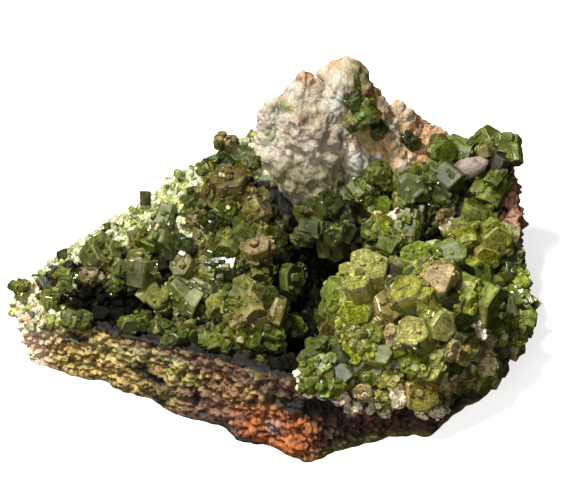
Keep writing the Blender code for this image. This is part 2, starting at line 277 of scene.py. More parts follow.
# The pale slope lies above a line that starts at this pixel, u and v, and rises so many pixels for each one.
SLOPE_EDGE = (70, 264, 0.17)
SLOPE_END = 272  # at its right end, u and a third of v come to this
BACK_BAND_LEFT, BACK_BAND_FOOT = (338, 352), (172, 160)  # u and v between which the band at the back sets in
BASE_RAGGED = 1.6  # how far the rock's foot goes in and out
LEDGES, LEDGE_DEPTH = 2.6, 0.6  # how many there are from rim to base, and how far they stand out
LAYERS, LAYER_DEPTH = 9.0, 0.08  # the thin layers, counted the same way
COBBLE, PEBBLE, GRIT = 3.0, 1.1, 0.5  # sizes of the rock's lumps
COBBLE_DEPTH, PEBBLE_DEPTH, GRIT_DEPTH = 1.5, 1.2, 0.5  # how far they stand out on the wall
STEP_DEPTH, FIBRE_DEPTH, SWELL_DEPTH, PIT_DEPTH = 0.3, 0.35, 0.8, 1.8
TOP_COBBLE_DEPTH, TOP_PEBBLE_DEPTH, TOP_GRIT_DEPTH, TOP_SWELL_DEPTH = 0.8, 0.6, 0.3, 0.7  # and on the top
# Black spots on the wall: x, and how far down from the rim to the base.
BLACK_SPOTS = ((-29.5, 0.22), (-17.6, 0.62), (-20.0, 0.5), (-17.2, 0.92))


def closed_curve(stations, steps):
    """Points of the smooth closed curve through the stations, as a Catmull-Rom spline."""
    stations = np.asarray(stations, float)
    place = np.arange(steps) * len(stations) / steps
    first = np.floor(place).astype(int)
    t = (place - first)[:, None]
    before, start, end, after = (stations[(first + k) % len(stations)] for k in (-1, 0, 1, 2))
    bend = 2 * before - 5 * start + 4 * end - after
    twist = 3 * start - before - 3 * end + after
    return start + 0.5 * t * (end - before + t * (bend + t * twist))


HEIGHT_POINTS = np.array([row[2:5] for row in OUTLINE] + list(INNER_HEIGHTS), float)
HEIGHT_WEIGHTS = np.linalg.solve(
    np.linalg.norm(HEIGHT_POINTS[:, None, :2] - HEIGHT_POINTS[None, :, :2], axis=2), HEIGHT_POINTS[:, 2]
)


def ground(x, y):
    """Height of the rock's top over points of the plan: a weighted sum of distances to the height points."""
    x, y = np.asarray(x, float), np.asarray(y, float)
    height = np.zeros(np.broadcast(x, y).shape)
    for (px, py, _), weight in zip(HEIGHT_POINTS, HEIGHT_WEIGHTS):
        height += weight * np.hypot(x - px, y - py)
    for px, py, half_x, half_y, depth in PITS:
        height -= depth * np.exp(-((((x - px) / half_x) ** 2 + ((y - py) / half_y) ** 2) ** 1.5))
    return np.maximum(height, LOWEST_GROUND)


def seen_at(points):
    """The photograph's pixel u, v where the camera sees each of these points."""
    away = points - AIM
    return PHOTO_WIDE / 2 + away @ RIGHT / PIXEL, PHOTO_HIGH / 2 - away @ UP / PIXEL


def chance(cells, seed):
    """A random number from 0 to 1 for each whole-number cell, by mixing its three numbers."""
    cells = cells.astype(np.int64)
    first, second, third = np.moveaxis(cells, -1, 0)
    mixed = first * 73856093 ^ second * 19349663 ^ third * 83492791 ^ (seed * 2654435761)
    for _ in range(2):
        mixed = mixed & 0xFFFFFFFF
        mixed = ((mixed >> 15) ^ mixed) * 2246822519
        mixed = mixed & 0xFFFFFFFF
        mixed = ((mixed >> 13) ^ mixed) * 3266489917
    return ((mixed & 0xFFFFFFFF) >> 8) / float(1 << 24)


def noise(points, size, seed=0, octaves=3):
    """Uneven numbers about 0, between -1 and 1: random values at the corners of cells this size, smoothed
    between them, and added at half the size and half the strength, octave by octave."""
    total = np.zeros(points.shape[:-1])
    for octave in range(octaves):
        place = points / (size / 2**octave)
        cell = np.floor(place)
        t = place - cell
        t = t * t * (3 - 2 * t)
        value = np.zeros(total.shape)
        for corner in np.ndindex(2, 2, 2):
            share = np.prod(np.where(corner, t, 1 - t), axis=-1)
            value += share * chance(cell + corner, seed + 17 * octave)
        total += (2 * value - 1) / 2**octave
    return total / (2 - 2.0 ** (1 - octaves))


def lumps(points, size, seed=0):
    """Round lumps about this size: 1 at the middle of each and 0 in the cracks between them, from the
    distances to the nearest and next nearest of one random point a cell."""
    place = points / size
    cell = np.floor(place)
    nearest = np.full(points.shape[:-1], 9.0)
    second = nearest.copy()
    for step in np.ndindex(3, 3, 3):
        other = cell + np.array(step) - 1
        middle = other + np.stack([chance(other, seed + k) for k in range(3)], axis=-1)
        away = np.linalg.norm(place - middle, axis=-1)
        second = np.minimum(second, np.maximum(nearest, away))
        nearest = np.minimum(nearest, away)
    return np.clip((second - nearest) * 1.6, 0, 1) ** 0.6


def grid_normals(points):
    """Unit normals of a grid of rows by columns that closes round its columns."""
    round_way = np.roll(points, -1, axis=1) - np.roll(points, 1, axis=1)
    down_way = np.gradient(points, axis=0)
    normals = np.cross(down_way, round_way)
    return normals / np.maximum(np.linalg.norm(normals, axis=-1, keepdims=True), 1e-9)


def closed_grid(rows, columns):
    """Faces of a grid that closes round its columns, with a fan at each end, and each face's size. Two more
    points after the grid's are the fans' middles, first of the first row."""
    index = np.arange(rows * columns).reshape(rows, columns)
    after = np.roll(index, -1, axis=1)
    quads = np.stack([index[:-1], index[1:], after[1:], after[:-1]], axis=-1).reshape(-1, 4)
    first = np.stack([np.full(columns, rows * columns), index[0], after[0]], axis=-1)
    last = np.stack([np.full(columns, rows * columns + 1), after[-1], index[-1]], axis=-1)
    faces = np.concatenate([quads.ravel(), first.ravel(), last.ravel()])
    sizes = np.concatenate([np.full(len(quads), 4), np.full(2 * columns, 3)])
    return faces, sizes


def with_ends(grid):
    """The grid's rows as one list, then the middles of its first and last rows for the fans there."""
    return np.concatenate([grid.reshape(-1, grid.shape[-1]), grid[[0, -1]].mean(axis=1)])


def step_between(low, high, value):
    """0 below low, 1 above high, and smooth between."""
    t = np.clip((value - low) / (high - low), 0, 1)
    return t * t * (3 - 2 * t)


def painted(base, *coats):
    """Colours for each point: a hex colour, then further hex colours, each with how much of it covers."""
    cover = np.asarray(coats[0][1])
    colours = np.broadcast_to(linear(base), (*cover.shape, 3)).copy()
    for colour, share in coats:
        share = np.clip(share, 0, 1)[..., None]
        colours = colours * (1 - share) + linear(colour) * share
    return colours


def set_colours(piece, name, colours):
    """Writes a colour for each point of the mesh as an attribute that the material reads."""
    layer = piece.data.color_attributes.new(name, "FLOAT_COLOR", "POINT")
    full = np.ones((len(colours), 4), np.float32)
    full[:, :3] = colours
    layer.data.foreach_set("color", full.ravel())


stations = closed_curve(OUTLINE, ROCK_COLUMNS)
base_xy, rim_xy, rim_z = stations[:, 0:2], stations[:, 2:4], stations[:, 4]
along = np.roll(stations, -1, axis=0)[:, :2] - np.roll(stations, 1, axis=0)[:, :2]
outward = np.stack([along[:, 1], -along[:, 0]], axis=-1)
outward /= np.linalg.norm(outward, axis=1, keepdims=True)

# From the middle of the top out to the rim, down the wall, and in again over the flat underside.
top_share = np.linspace(0.004, 1, TOP_ROWS, endpoint=False)[:, None]
top_xy = ROCK_CENTRE + top_share[..., None] * (rim_xy - ROCK_CENTRE)
top_z = ground(top_xy[..., 0], top_xy[..., 1])
wall_share = np.linspace(0, 1, WALL_ROWS)[:, None]
base_places = np.concatenate([base_xy, np.zeros((ROCK_COLUMNS, 1))], axis=1)
base_xy = base_xy + outward * (BASE_RAGGED * noise(base_places, 4.0, seed=50))[:, None]
wall_xy = rim_xy + wall_share[..., None] * (base_xy - rim_xy)
wall_z = rim_z * (1 - wall_share)
ledge_wave = 0.25 * np.sin(wall_xy[..., 0] / 5.1) + 0.2 * np.sin(wall_xy[..., 0] / 2.3 + 1)
layer = np.mod(wall_share * LEDGES + ledge_wave, 1)
ledge = LEDGE_DEPTH * np.minimum(1, rim_z / 10) * (layer - 0.5) * np.sin(np.pi * wall_share)
wall_xy = wall_xy + ledge[..., None] * outward
base_share = np.array((0.7, 0.3))[:, None]
under_xy = base_xy * base_share[..., None]
rock_points = np.concatenate(
    [
        np.concatenate([top_xy, top_z[..., None]], axis=-1),
        np.concatenate([wall_xy, wall_z[..., None]], axis=-1),
        np.concatenate([under_xy, np.zeros((2, ROCK_COLUMNS, 1))], axis=-1),
    ]
)
rock_rows = len(rock_points)
# These are views of rock_points, so they follow it when its relief moves it.
x, y, z = np.moveaxis(rock_points, -1, 0)
on_wall = np.zeros(x.shape)
on_wall[TOP_ROWS:] = step_between(0, 0.12, wall_share[[*range(WALL_ROWS), -1, -1]])
near_base = step_between(0.0, 1.6, z)
front = step_between(3, -3, y + 0.12 * x) * on_wall
smooth_rock = rock_points.copy()  # what the noises read, as it is before its relief

wobble = noise(smooth_rock, 9, seed=3)
down_wall = np.zeros(x.shape)  # 0 at the rim and 1 at the base
down_wall[TOP_ROWS : TOP_ROWS + WALL_ROWS] = wall_share
down_wall[TOP_ROWS + WALL_ROWS :] = 1
layering = (down_wall + 0.1 * wobble + 0.03 * noise(smooth_rock, 3, seed=4)) * LAYERS
layer_saw = np.mod(layering, 1)
layer_number = np.floor(layering)
layer_cells = np.stack([layer_number, np.floor(x / 5 + wobble), np.zeros_like(x)], axis=-1)
layer_reach = chance(layer_cells, 9)
cobbles = lumps(smooth_rock, COBBLE, seed=21)
pebbles = lumps(smooth_rock * (1, 1, 1.3), PEBBLE, seed=22)
fibres = noise(smooth_rock @ np.array([[0.35, 0, 0.5], [0, 1, 0], [0, 0, 1.6]]), 1.0, seed=31)
grit = noise(smooth_rock, GRIT, seed=32, octaves=2)
swell = noise(smooth_rock, 7, seed=33)
pits = step_between(0.45, 0.8, noise(smooth_rock, 3.2, seed=36, octaves=2) + 0.15 * grit)

relief_wall = (
    LAYER_DEPTH * (layer_saw - 0.6)
    + STEP_DEPTH * (layer_reach - 0.5)
    + COBBLE_DEPTH * (cobbles - 0.5)
    + PEBBLE_DEPTH * (pebbles - 0.5)
    + FIBRE_DEPTH * fibres * step_between(-18, -8, x)
    + GRIT_DEPTH * grit
    + SWELL_DEPTH * swell
    - PIT_DEPTH * pits
)
relief_top = (
    TOP_COBBLE_DEPTH * (cobbles - 0.5)
    + TOP_PEBBLE_DEPTH * (pebbles - 0.5)
    + TOP_GRIT_DEPTH * grit
    + TOP_SWELL_DEPTH * swell
)
relief = relief_wall * on_wall + relief_top * (1 - on_wall)
normals = grid_normals(rock_points)
rock_points += normals * (relief * near_base)[..., None]
rock_points[..., 2] = np.maximum(rock_points[..., 2], 0)
rock_normals = grid_normals(rock_points)

# Where the stains lie, as masks from 0 to 1: by x and y in mm, by the pixel where the camera sees the rock,
# and on the wall by how far down it is from the rim, 0, to the base, 1.
stripe = chance(np.stack([layer_number, np.floor(x / 14 + wobble), np.zeros_like(x)], axis=-1), 12)
stain = noise(smooth_rock, 5, seed=41)
fine_stain = noise(smooth_rock, 1.4, seed=42)
# Painted shade: the cracks between the lumps and the sunken places of the rock are darkened.
crack_shade = step_between(0.45, 0.1, pebbles) + step_between(-0.3, -0.9, relief)
left_tip = step_between(-32.5, -36, x + 1.5 * stain)
seen_u, seen_v = seen_at(rock_points)
above_slope = SLOPE_EDGE[1] - SLOPE_EDGE[2] * (seen_u - SLOPE_EDGE[0]) - seen_v
slope = step_between(-6, 6, above_slope + 8 * stain) * step_between(8, -8, seen_u + seen_v / 3 - SLOPE_END)
slope_wall = on_wall * step_between(2, 6, y) * step_between(2, -4, x)
slope_back = (1 - on_wall) * step_between(15.5, 17, y) * step_between(3, 0, x)
slope = np.maximum.reduce([slope * (1 - on_wall), slope_wall, slope_back])
back_band = step_between(*BACK_BAND_LEFT, seen_u) * step_between(*BACK_BAND_FOOT, seen_v + 6 * stain)
right_edge = step_between(33, 36, x) * step_between(3, 8, y)
coarse_stain = noise(smooth_rock, 6, seed=44)
depth_down = down_wall + 0.12 * stain
front_left = front * step_between(6, -2, x + 2 * stain)
front_right = front * step_between(4, 9, x + 2 * stain)
mauve_depth = depth_down - 0.1 * step_between(-18, -8, x)
mauve_top = front * step_between(-25, -20, x) * step_between(0.24, 0.12, mauve_depth)
pale_band = front_left * step_between(-10, -16, x) * step_between(0.14, 0.2, depth_down)
pale_band *= step_between(0.36, 0.26, depth_down)
mauve_low = front_left * step_between(-17, -12, x) * step_between(0.5, 0.62, depth_down)
rust_low = front * step_between(-8, -3, x + 2 * fine_stain) * step_between(9, 4, x)
rust_low *= step_between(0.42, 0.6, depth_down)
dark_lens = front * step_between(-14, -10, x) * step_between(0, -4, x) * step_between(0.84, 0.92, depth_down)
# Painted shadow: a dark band across the wall under the knob.
knob_crack_shadow = front * step_between(-4, 4, x) * step_between(0.2, 0.32, depth_down)
knob_crack_shadow *= step_between(0.52, 0.44, depth_down)
blue_spot = np.exp(-(((x - 0.6) / 1.2) ** 2 + ((down_wall - 0.72) / 0.1) ** 2)) * front
crack_shade_share = 0.85 - 0.65 * np.maximum.reduce([slope, left_tip, back_band])
black_spots = sum(
    np.exp(-(((x - spot_x) / 2.2) ** 2 + ((down_wall - spot_down) / 0.1) ** 2) * 1.4)
    for spot_x, spot_down in BLACK_SPOTS
) * front
# The rock's top starts near black: painted shade under and between the crystals.
rock_colours = painted(
    "#0d0d07",
    ("#1c1b0e", step_between(-0.3, 0.6, fine_stain)),
    ("#b39a56", on_wall),
    ("#8a6c38", on_wall * step_between(0.4, 0.8, stripe) * 0.35),
    ("#cdb46a", on_wall * step_between(0.0, 0.6, fine_stain)),
    ("#a8662e", on_wall * step_between(0.15, 0.5, noise(rock_points, 1.0, seed=47)) * 0.7),
    ("#4a3a1e", on_wall * step_between(0.2, 0.6, noise(rock_points, 0.8, seed=48)) * 0.7),
    ("#8f9440", on_wall * step_between(0.1, 0.5, stain) * 0.85),
    ("#8c5a34", front * step_between(-17, -9, x + 5 * fine_stain) * 0.7),
    ("#2c1c12", front * step_between(-17, -9, x) * step_between(0.1, 0.4, fibres) * 0.8),
    ("#a06c40", front_left * step_between(0.1, 0.5, coarse_stain) * 0.8),
    ("#b4b884", pale_band * 0.6),
    ("#d6bc78", front_left * step_between(0.5, 0.9, pebbles) * 0.45),
    ("#9aa04c", front_left * step_between(0.2, 0.5, noise(rock_points, 2.2, seed=49)) * 0.7),
    ("#6a483c", mauve_top * 0.85),
    ("#a89488", mauve_top * step_between(0.25, 0.6, fine_stain)),
    ("#84604f", mauve_low * 0.85),
    ("#40281a", front_right * 0.9),
    ("#6b5238", front_right * step_between(0.1, 0.6, fine_stain)),
    ("#8a4c26", front_right * step_between(0.2, 0.5, stain)),
    ("#7a7434", front_right * step_between(0.8, 0.95, depth_down) * 0.8),
    ("#b0602a", rust_low),
    ("#d07c3a", rust_low * step_between(0.1, 0.5, fine_stain)),
    ("#1a1612", knob_crack_shadow),
    ("#1c2218", dark_lens),
    ("#7d929c", blue_spot * 0.8),
    ("#14110d", np.clip(1.3 * black_spots, 0, 1)),
    ("#f6dcc0", left_tip),
    ("#c98a5c", left_tip * step_between(0.6, 0.9, stripe) * 0.5),
    ("#cdd3a8", slope * 0.95),
    ("#8f9c50", slope * step_between(0.0, 0.6, fine_stain) * 0.85),
    ("#e4e6d0", slope * step_between(0.15, 0.6, noise(smooth_rock, 4, seed=46))),
    ("#cfa27c", back_band),
    ("#a85c34", back_band * step_between(0.2, 0.5, stain)),
    ("#d8bba4", back_band * step_between(0.1, 0.6, fine_stain) * 0.7),
    ("#c08465", right_edge),
    ("#d9a78c", right_edge * step_between(0.0, 0.5, fine_stain)),
    # Painted shade in the cracks and sunken places, lighter on the pale rock.
    ("#120d08", np.clip(crack_shade, 0, 1) * crack_shade_share),
)

rock_faces, rock_sizes = closed_grid(rock_rows, ROCK_COLUMNS)
rock = mesh_piece("stained_rock", with_ends(rock_points), rock_faces, True, rock_sizes)
set_colours(rock, "stain", with_ends(rock_colours))

# Iron-stained limonite, broken and earthy: dull, with grit that catches the light and fine dark pores.
limonite, tree = new_material("broken_limonite")
place = node(tree, "ShaderNodeTexCoord")
stain_colour = node(tree, "ShaderNodeAttribute", {"attribute_name": "stain"})
speckle = node(
    tree,
    "ShaderNodeTexNoise",
    {"Scale": 2200.0, "Detail": 4.0, "Roughness": 0.7},
    Vector=place.outputs["Object"],
)
speckle_tone = node(
    tree,
    "ShaderNodeMapRange",
    {"From Min": 0.3, "From Max": 0.7, "To Min": 0.4, "To Max": 1.95},
    Value=speckle.outputs["Fac"],
)
speckled = node(
    tree,
    "ShaderNodeVectorMath",
    {"operation": "SCALE"},
    Vector=stain_colour.outputs["Color"],
    Scale=speckle_tone.outputs[0],
)
grit_bump = node(tree, "ShaderNodeBump", {"Strength": 0.7, "Distance": 0.0004}, Height=speckle.outputs["Fac"])
limonite_shader = node(
    tree,
    "ShaderNodeBsdfPrincipled",
    {"Roughness": 0.72, "IOR": 1.6},
    Base_Color=speckled.outputs[0],
    Normal=grit_bump.outputs["Normal"],
)
finish_material(tree, limonite_shader)
rock.data.materials.append(limonite)
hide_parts("matrix_rock")
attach(rock, "root")

# The quartz: a mass of fused white and pink grains, like damp sugar, that has grown on the rock and stands up
# behind the hollow. It is made of rough leaning cones that run into each other.

CRAG_HEIGHTS = (0.0, 0.25, 0.5, 0.7, 0.85, 0.95, 1.0)  # share of the way up, for each crag's widths
CRAGS = (  # x, y, z of the foot, x, y, z of the peak, and half the width at each of those heights
    ((6.0, 22.6, 14.0), (5.4, 22.2, 36.6), (8.8, 7.9, 6.3, 4.5, 2.9, 1.5, 0.3)),
    ((1.2, 20.6, 14.0), (0.9, 21.4, 31.4), (4.2, 3.9, 3.4, 2.8, 2.2, 1.3, 0.3)),
    ((12.6, 22.8, 14.0), (11.2, 24.4, 37.2), (6.4, 5.6, 4.8, 4.0, 3.3, 2.3, 0.7)),
    ((15.2, 19.6, 15.0), (8.8, 21.6, 33.4), (4.0, 3.6, 3.0, 2.4, 1.8, 1.2, 0.3)),
    ((18.5, 22.5, 13.0), (14.6, 24.6, 32.6), (5.2, 4.6, 3.9, 3.0, 2.2, 1.3, 0.3)),
    ((24.0, 23.5, 12.0), (19.5, 25.0, 27.6), (4.2, 3.6, 3.0, 2.3, 1.6, 0.9, 0.3)),
    ((23.6, 19.6, 14.0), (12.0, 21.4, 29.6), (3.8, 3.6, 3.2, 2.6, 2.0, 1.2, 0.3)),
)
CRAG_ROWS, CRAG_COLUMNS = 96, 140
CRAG_BACK = 0.42  # how far a crag reaches behind its middle, against in front
FOOT_TOP, FOOT_BASE = 150, 180  # v of the pixels between which the darker, greener foot sets in
BAND_LEFT, BAND_SLANT = (345, 150), 0.72  # u and v where the stained band starts, and how it falls from there
# Patches that stand out in the photograph: u, v of the middle, and half the breadth and height in pixels.
GREY_MIDDLE, GREY_CLEFT = (330, 137, 16, 13), (303, 115, 6, 12)
WHITE_SHOULDER, WHITE_FOOT = (338, 101, 10, 10), (355, 160, 8, 18)
CREAM_LUMP = (391, 126, 7, 8)
GREEN_TUFT, GREEN_EDGE = (285, 107, 9, 7), (270, 135, 7, 9)
PEACH_TIP, PEACH_CORNER = (307, 76, 12, 9), (334, 64, 9, 7)
OLIVE_FACE, OLIVE_CRACK = (358, 76, 10, 15), (346, 90, 9, 4)
RED_SPECK = (303, 120, 2.5, 2.5)


def crag(foot, peak, widths, seed):
    """A steep rough cone as a grid from the peak down: a circle, flatter at the back, whose middle goes from
    foot to peak, with its radius taken from the widths and made uneven, and grains and clefts on it."""
    share = (1 - (np.arange(CRAG_ROWS) / (CRAG_ROWS - 1)) ** 0.8)[:, None]
    turn = np.arange(CRAG_COLUMNS)[None] / CRAG_COLUMNS * 2 * np.pi
    radius = np.interp(share, CRAG_HEIGHTS, widths)
    middle = np.array(foot) + share[..., None] * (np.array(peak) - np.array(foot))
    behind = np.sin(turn) * np.where(np.sin(turn) > 0, CRAG_BACK, 1)
    flat = np.stack([np.cos(turn) + 0 * share, behind + 0 * share, 0 * turn + 0 * share], axis=-1)
    points = middle + flat * radius[..., None]
    uneven = 1 + 0.3 * noise(points, 5.0, seed) + 0.2 * noise(points * (1, 1, 0.25), 1.8, seed + 5)
    points = middle + flat * (radius * uneven)[..., None]
    outs = grid_normals(points)
    broken = lumps(points * (1, 1, 0.55), 2.3, seed + 1)
    relief = (
        0.6 * noise(points, 3.4, seed + 2)
        + 0.6 * (broken - 0.5)
        + 0.4 * noise(points, 1.3, seed + 3)
        + 0.25 * noise(points, 0.5, seed + 4, octaves=2)
    )
    cleft_shade = step_between(0.35, 0.05, broken)
    return points + outs * relief[..., None], cleft_shade


made = [crag(foot, peak, widths, 60 + 10 * number) for number, (foot, peak, widths) in enumerate(CRAGS)]
crag_faces, crag_sizes = closed_grid(CRAG_ROWS, CRAG_COLUMNS)
crag_count = CRAG_ROWS * CRAG_COLUMNS + 2
quartz_points = np.concatenate([with_ends(points) for points, _ in made])
cleft_shade = np.concatenate([with_ends(cleft[..., None])[:, 0] for _, cleft in made])
quartz_faces = np.concatenate([crag_faces + number * crag_count for number in range(len(CRAGS))])
quartz_sizes = np.tile(crag_sizes, len(CRAGS))
patches = noise(quartz_points, 4.5, seed=164)
fine_patches = noise(quartz_points, 1.2, seed=165)
quartz_u, quartz_v = seen_at(quartz_points)


def spot(u_middle, v_middle, half_u, half_v):
    """1 at a patch of the quartz seen about this pixel, fading to 0 round it."""
    return np.exp(-(((quartz_u - u_middle) / half_u) ** 2 + ((quartz_v - v_middle) / half_v) ** 2))


foot = step_between(FOOT_TOP, FOOT_BASE, quartz_v + 14 * patches + 8 * fine_patches)
grains = noise(quartz_points, 0.6, seed=169, octaves=2)
band_edge = BAND_LEFT[1] + BAND_SLANT * (quartz_u - BAND_LEFT[0])
band = step_between(0, 12, band_edge - quartz_v + 10 * patches)
band = band * step_between(0, 10, quartz_u - BAND_LEFT[0])
quartz_colours = painted(
    "#e9dcc8",
    ("#ddcdb4", step_between(0.0, 0.5, patches)),
    ("#cbb8a0", step_between(0.1, 0.5, noise(quartz_points, 3.2, seed=167)) * 0.7),
    ("#f6efe2", step_between(0.1, 0.6, noise(quartz_points, 2.4, seed=166))),
    ("#a29082", np.maximum(spot(*GREY_MIDDLE), spot(*GREY_CLEFT)) * 0.75),
    ("#efbe84", band * step_between(-0.4, 0.2, fine_patches) * 0.95),
    ("#c88a4c", band * step_between(0.1, 0.5, patches) * 0.8),
    ("#8e9556", band * step_between(0.1, 0.6, noise(quartz_points, 2.0, seed=171)) * 0.7),
    ("#fbf8f2", np.maximum(spot(*WHITE_SHOULDER), spot(*WHITE_FOOT)) * 0.9),
    ("#f2e6da", spot(*CREAM_LUMP)),
    ("#8f9c4c", spot(*GREEN_TUFT) * step_between(-0.4, 0.2, fine_patches)),
    ("#9aa560", spot(*GREEN_EDGE) * 0.7),
    ("#f2ba88", spot(*PEACH_TIP)),
    ("#e8b888", spot(*PEACH_CORNER)),
    ("#a3a76c", spot(*OLIVE_FACE) * 0.95),
    ("#4c4a34", spot(*OLIVE_CRACK) * 0.7),
    ("#c9665a", spot(*RED_SPECK)),
    ("#8c7c5c", step_between(0.1, 0.5, grains) * 0.5),
    # Painted shade in the clefts.
    ("#8f8068", cleft_shade * 0.25),
    ("#7d7b48", foot * 0.7),
    ("#34351a", foot * step_between(0.0, -0.4, fine_patches) * 0.9),
)
quartz = mesh_piece("sugary_quartz", quartz_points, quartz_faces, smooth=True, sizes=quartz_sizes)
set_colours(quartz, "stain", quartz_colours)

# Granular quartz: crushed-sugar surface, bright, a little see-through, darker between the grains.
sugar_quartz, tree = new_material("granular_quartz")
place = node(tree, "ShaderNodeTexCoord")
stain_colour = node(tree, "ShaderNodeAttribute", {"attribute_name": "stain"})
grains = node(tree, "ShaderNodeTexVoronoi", {"Scale": 2400.0}, Vector=place.outputs["Object"])
grain_tone = node(
    tree,
    "ShaderNodeMapRange",
    {"From Min": 0.0, "From Max": 0.7, "To Min": 1.1, "To Max": 0.72},
    Value=grains.outputs["Distance"],
)
grained = node(
    tree,
    "ShaderNodeVectorMath",
    {"operation": "SCALE"},
    Vector=stain_colour.outputs["Color"],
    Scale=grain_tone.outputs[0],
)
grain_bump = node(
    tree,
    "ShaderNodeBump",
    {"Strength": 0.5, "Distance": 0.0002, "invert": True},
    Height=grains.outputs["Distance"],
)
quartz_shader = node(
    tree,
    "ShaderNodeBsdfPrincipled",
    {"Roughness": 0.7, "Specular IOR Level": 0.25, "Subsurface Weight": 0.3, "Subsurface Scale": 0.001},
    Base_Color=grained.outputs[0],
    Normal=grain_bump.outputs["Normal"],
)
finish_material(tree, quartz_shader)
quartz.data.materials.append(sugar_quartz)
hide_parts("quartz_mass")
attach(quartz, "root")

# The quartz pebble: a smooth grey-pink lump of the same quartz, shaped like a bean, that sits fast among the
# back shelf's crystals. It is a ball drawn out, dented and tilted.

NODULE_MIDDLE, NODULE_RADII = np.array((30.5, 18.5, 19.0)), np.array((3.4, 1.7, 1.5))
NODULE_ROWS, NODULE_COLUMNS = 44, 64
NODULE_TILT = np.radians(-28)  # it rises to the right


def ball_ways(rows, columns, from_pole):
    """Unit ways out from a ball's middle, as a grid of rows from near its top pole to near its bottom one."""
    polar = np.linspace(from_pole, np.pi - from_pole, rows)[:, None]
    turn = np.arange(columns)[None] / columns * 2 * np.pi
    flat = np.sin(polar)
    return np.stack([flat * np.cos(turn), flat * np.sin(turn), np.cos(polar) + 0 * turn], axis=-1)


ways = ball_ways(NODULE_ROWS, NODULE_COLUMNS, 0.01)
nodule_points = ways * NODULE_RADII
dents = 0.3 * noise(nodule_points, 2.4, seed=71) + 0.07 * noise(nodule_points, 0.6, seed=72)
nodule_points = nodule_points + ways * dents[..., None]
tilt_cos, tilt_sin = np.cos(NODULE_TILT), np.sin(NODULE_TILT)
tilted = np.array([[tilt_cos, 0, tilt_sin], [0, 1, 0], [-tilt_sin, 0, tilt_cos]])
nodule_points = with_ends(nodule_points @ tilted.T + NODULE_MIDDLE)
nodule_faces, nodule_sizes = closed_grid(NODULE_ROWS, NODULE_COLUMNS)
nodule = mesh_piece("quartz_pebble", nodule_points, nodule_faces, smooth=True, sizes=nodule_sizes)
nodule_colours = painted("#b5a59b", ("#85716a", step_between(0, 0.5, noise(nodule_points, 1.5, seed=73))))
set_colours(nodule, "stain", nodule_colours)
nodule.data.materials.append(sugar_quartz)
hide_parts("quartz_nodule")
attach(nodule, "root")

# The knob: two lobes of the largest and brightest crystals, at the right front. They are pyromorphite, grown
# on the rock and into each other as stubby six-sided barrels, olive to yellow green with duller flat ends.
# Each is a hexagon drawn out along its axis. The other crystal pieces are made the same way.

BALLS = np.array(  # x, y, z and radius of the crusts' round cores
    (
        (23.5, -8.5, 12.8, 8.6),
        (16.5, -9.5, 11.8, 7.2),
        (-3.4, -3.5, 8.4, 4.4),
        (8.5, 12.0, 13.4, 3.6),
        (19.0, 8.0, 13.6, 3.4),
        (34.5, 20.0, 17.6, 2.6),
        (8.5, -16.5, 9.3, 3.0),
        (16.5, -15.0, 6.8, 4.4),
        (25.5, -14.0, 6.6, 4.4),
        (30.5, -10.0, 5.8, 4.6),
        (34.0, -4.0, 6.6, 4.4),
    )
)
QUARTZ_BALLS = np.array(  # the same for the quartz behind them
    (
        (5.6, 21.0, 24.0, 5.8),
        (6.0, 20.0, 17.0, 8.0),
        (12.6, 23.3, 28.0, 4.8),
        (14.5, 18.5, 18.0, 4.0),
        (19.5, 21.0, 18.0, 4.0),
    )
)
STEEPNESS = 0.75  # how far a place is from the sloping top, against how far straight above it
SORTS = {  # colours of the sides and of the flat end
    "g": ("#56620c", "#505c18"),
    "y": ("#6c720e", "#6a6e1a"),
    "d": ("#343f0c", "#394414"),
    "p": ("#5e6414", "#7c7a40"),
    "t": ("#6a6420", "#867650"),
    "a": ("#6c5c18", "#645e28"),
    "w": ("#a89a6c", "#d6c8ac"),
}


def rock_gap(points):
    """How far points stand off the rock's smooth top, or outside its rim on plan."""
    above = STEEPNESS * (points[..., 2] - ground(points[..., 0], points[..., 1]))
    return np.maximum(above, rim_gap(points[..., :2]))


RIM = closed_curve([row[2:4] for row in OUTLINE], 96)


def rim_gap(places):
    """How far places of the plan lie outside the rim; inside it is below 0."""
    start, end = RIM, np.roll(RIM, -1, axis=0)
    nearest = np.full(places.shape[:-1], 1e9)
    inside = np.zeros(places.shape[:-1], bool)
    for (ax, ay), (bx, by) in zip(start, end):
        px, py = places[..., 0] - ax, places[..., 1] - ay
        wx, wy = bx - ax, by - ay
        t = np.clip((px * wx + py * wy) / (wx * wx + wy * wy), 0, 1)
        nearest = np.minimum(nearest, np.hypot(px - t * wx, py - t * wy))
        if ay != by:
            crosses = (ay > places[..., 1]) != (by > places[..., 1])
            inside ^= crosses & (places[..., 0] < ax + (places[..., 1] - ay) / (by - ay) * wx)
    return np.where(inside, -nearest, nearest)


def crust_gap(points):
    """How far points stand off the rock or a ball, whichever is nearer."""
    gap = rock_gap(points)
    for ball in np.concatenate([BALLS, QUARTZ_BALLS]):
        gap = np.minimum(gap, np.linalg.norm(points - ball[:3], axis=-1) - ball[3])
    return gap


def crust_normal(points, reach=0.8):
    """Outward way at points by the crust: how its gap changes over a short reach along X, Y and Z."""
    ways = np.eye(3) * reach
    slope = np.stack([crust_gap(points + way) - crust_gap(points - way) for way in ways], axis=-1)
    return slope / np.maximum(np.linalg.norm(slope, axis=-1, keepdims=True), 1e-9)


def cast(u, v, rise, steps=260, nearest=-45.0, furthest=50.0):
    """Where the photograph's rays through pixels u, v first come as near to the crust as rise says."""
    aside = (np.asarray(u) - PHOTO_WIDE / 2) * PIXEL / CAMERA_AWAY
    upward = (PHOTO_HIGH / 2 - np.asarray(v)) * PIXEL / CAMERA_AWAY
    ways = FORWARD + aside[:, None] * RIGHT + upward[:, None] * UP
    depths = CAMERA_AWAY + np.linspace(nearest, furthest, steps)
    points = AIM - FORWARD * CAMERA_AWAY + ways[:, None] * depths[None, :, None]
    met = crust_gap(points) <= np.asarray(rise)[:, None]
    first = np.argmax(met, axis=1)
    return points[np.arange(len(points)), first]


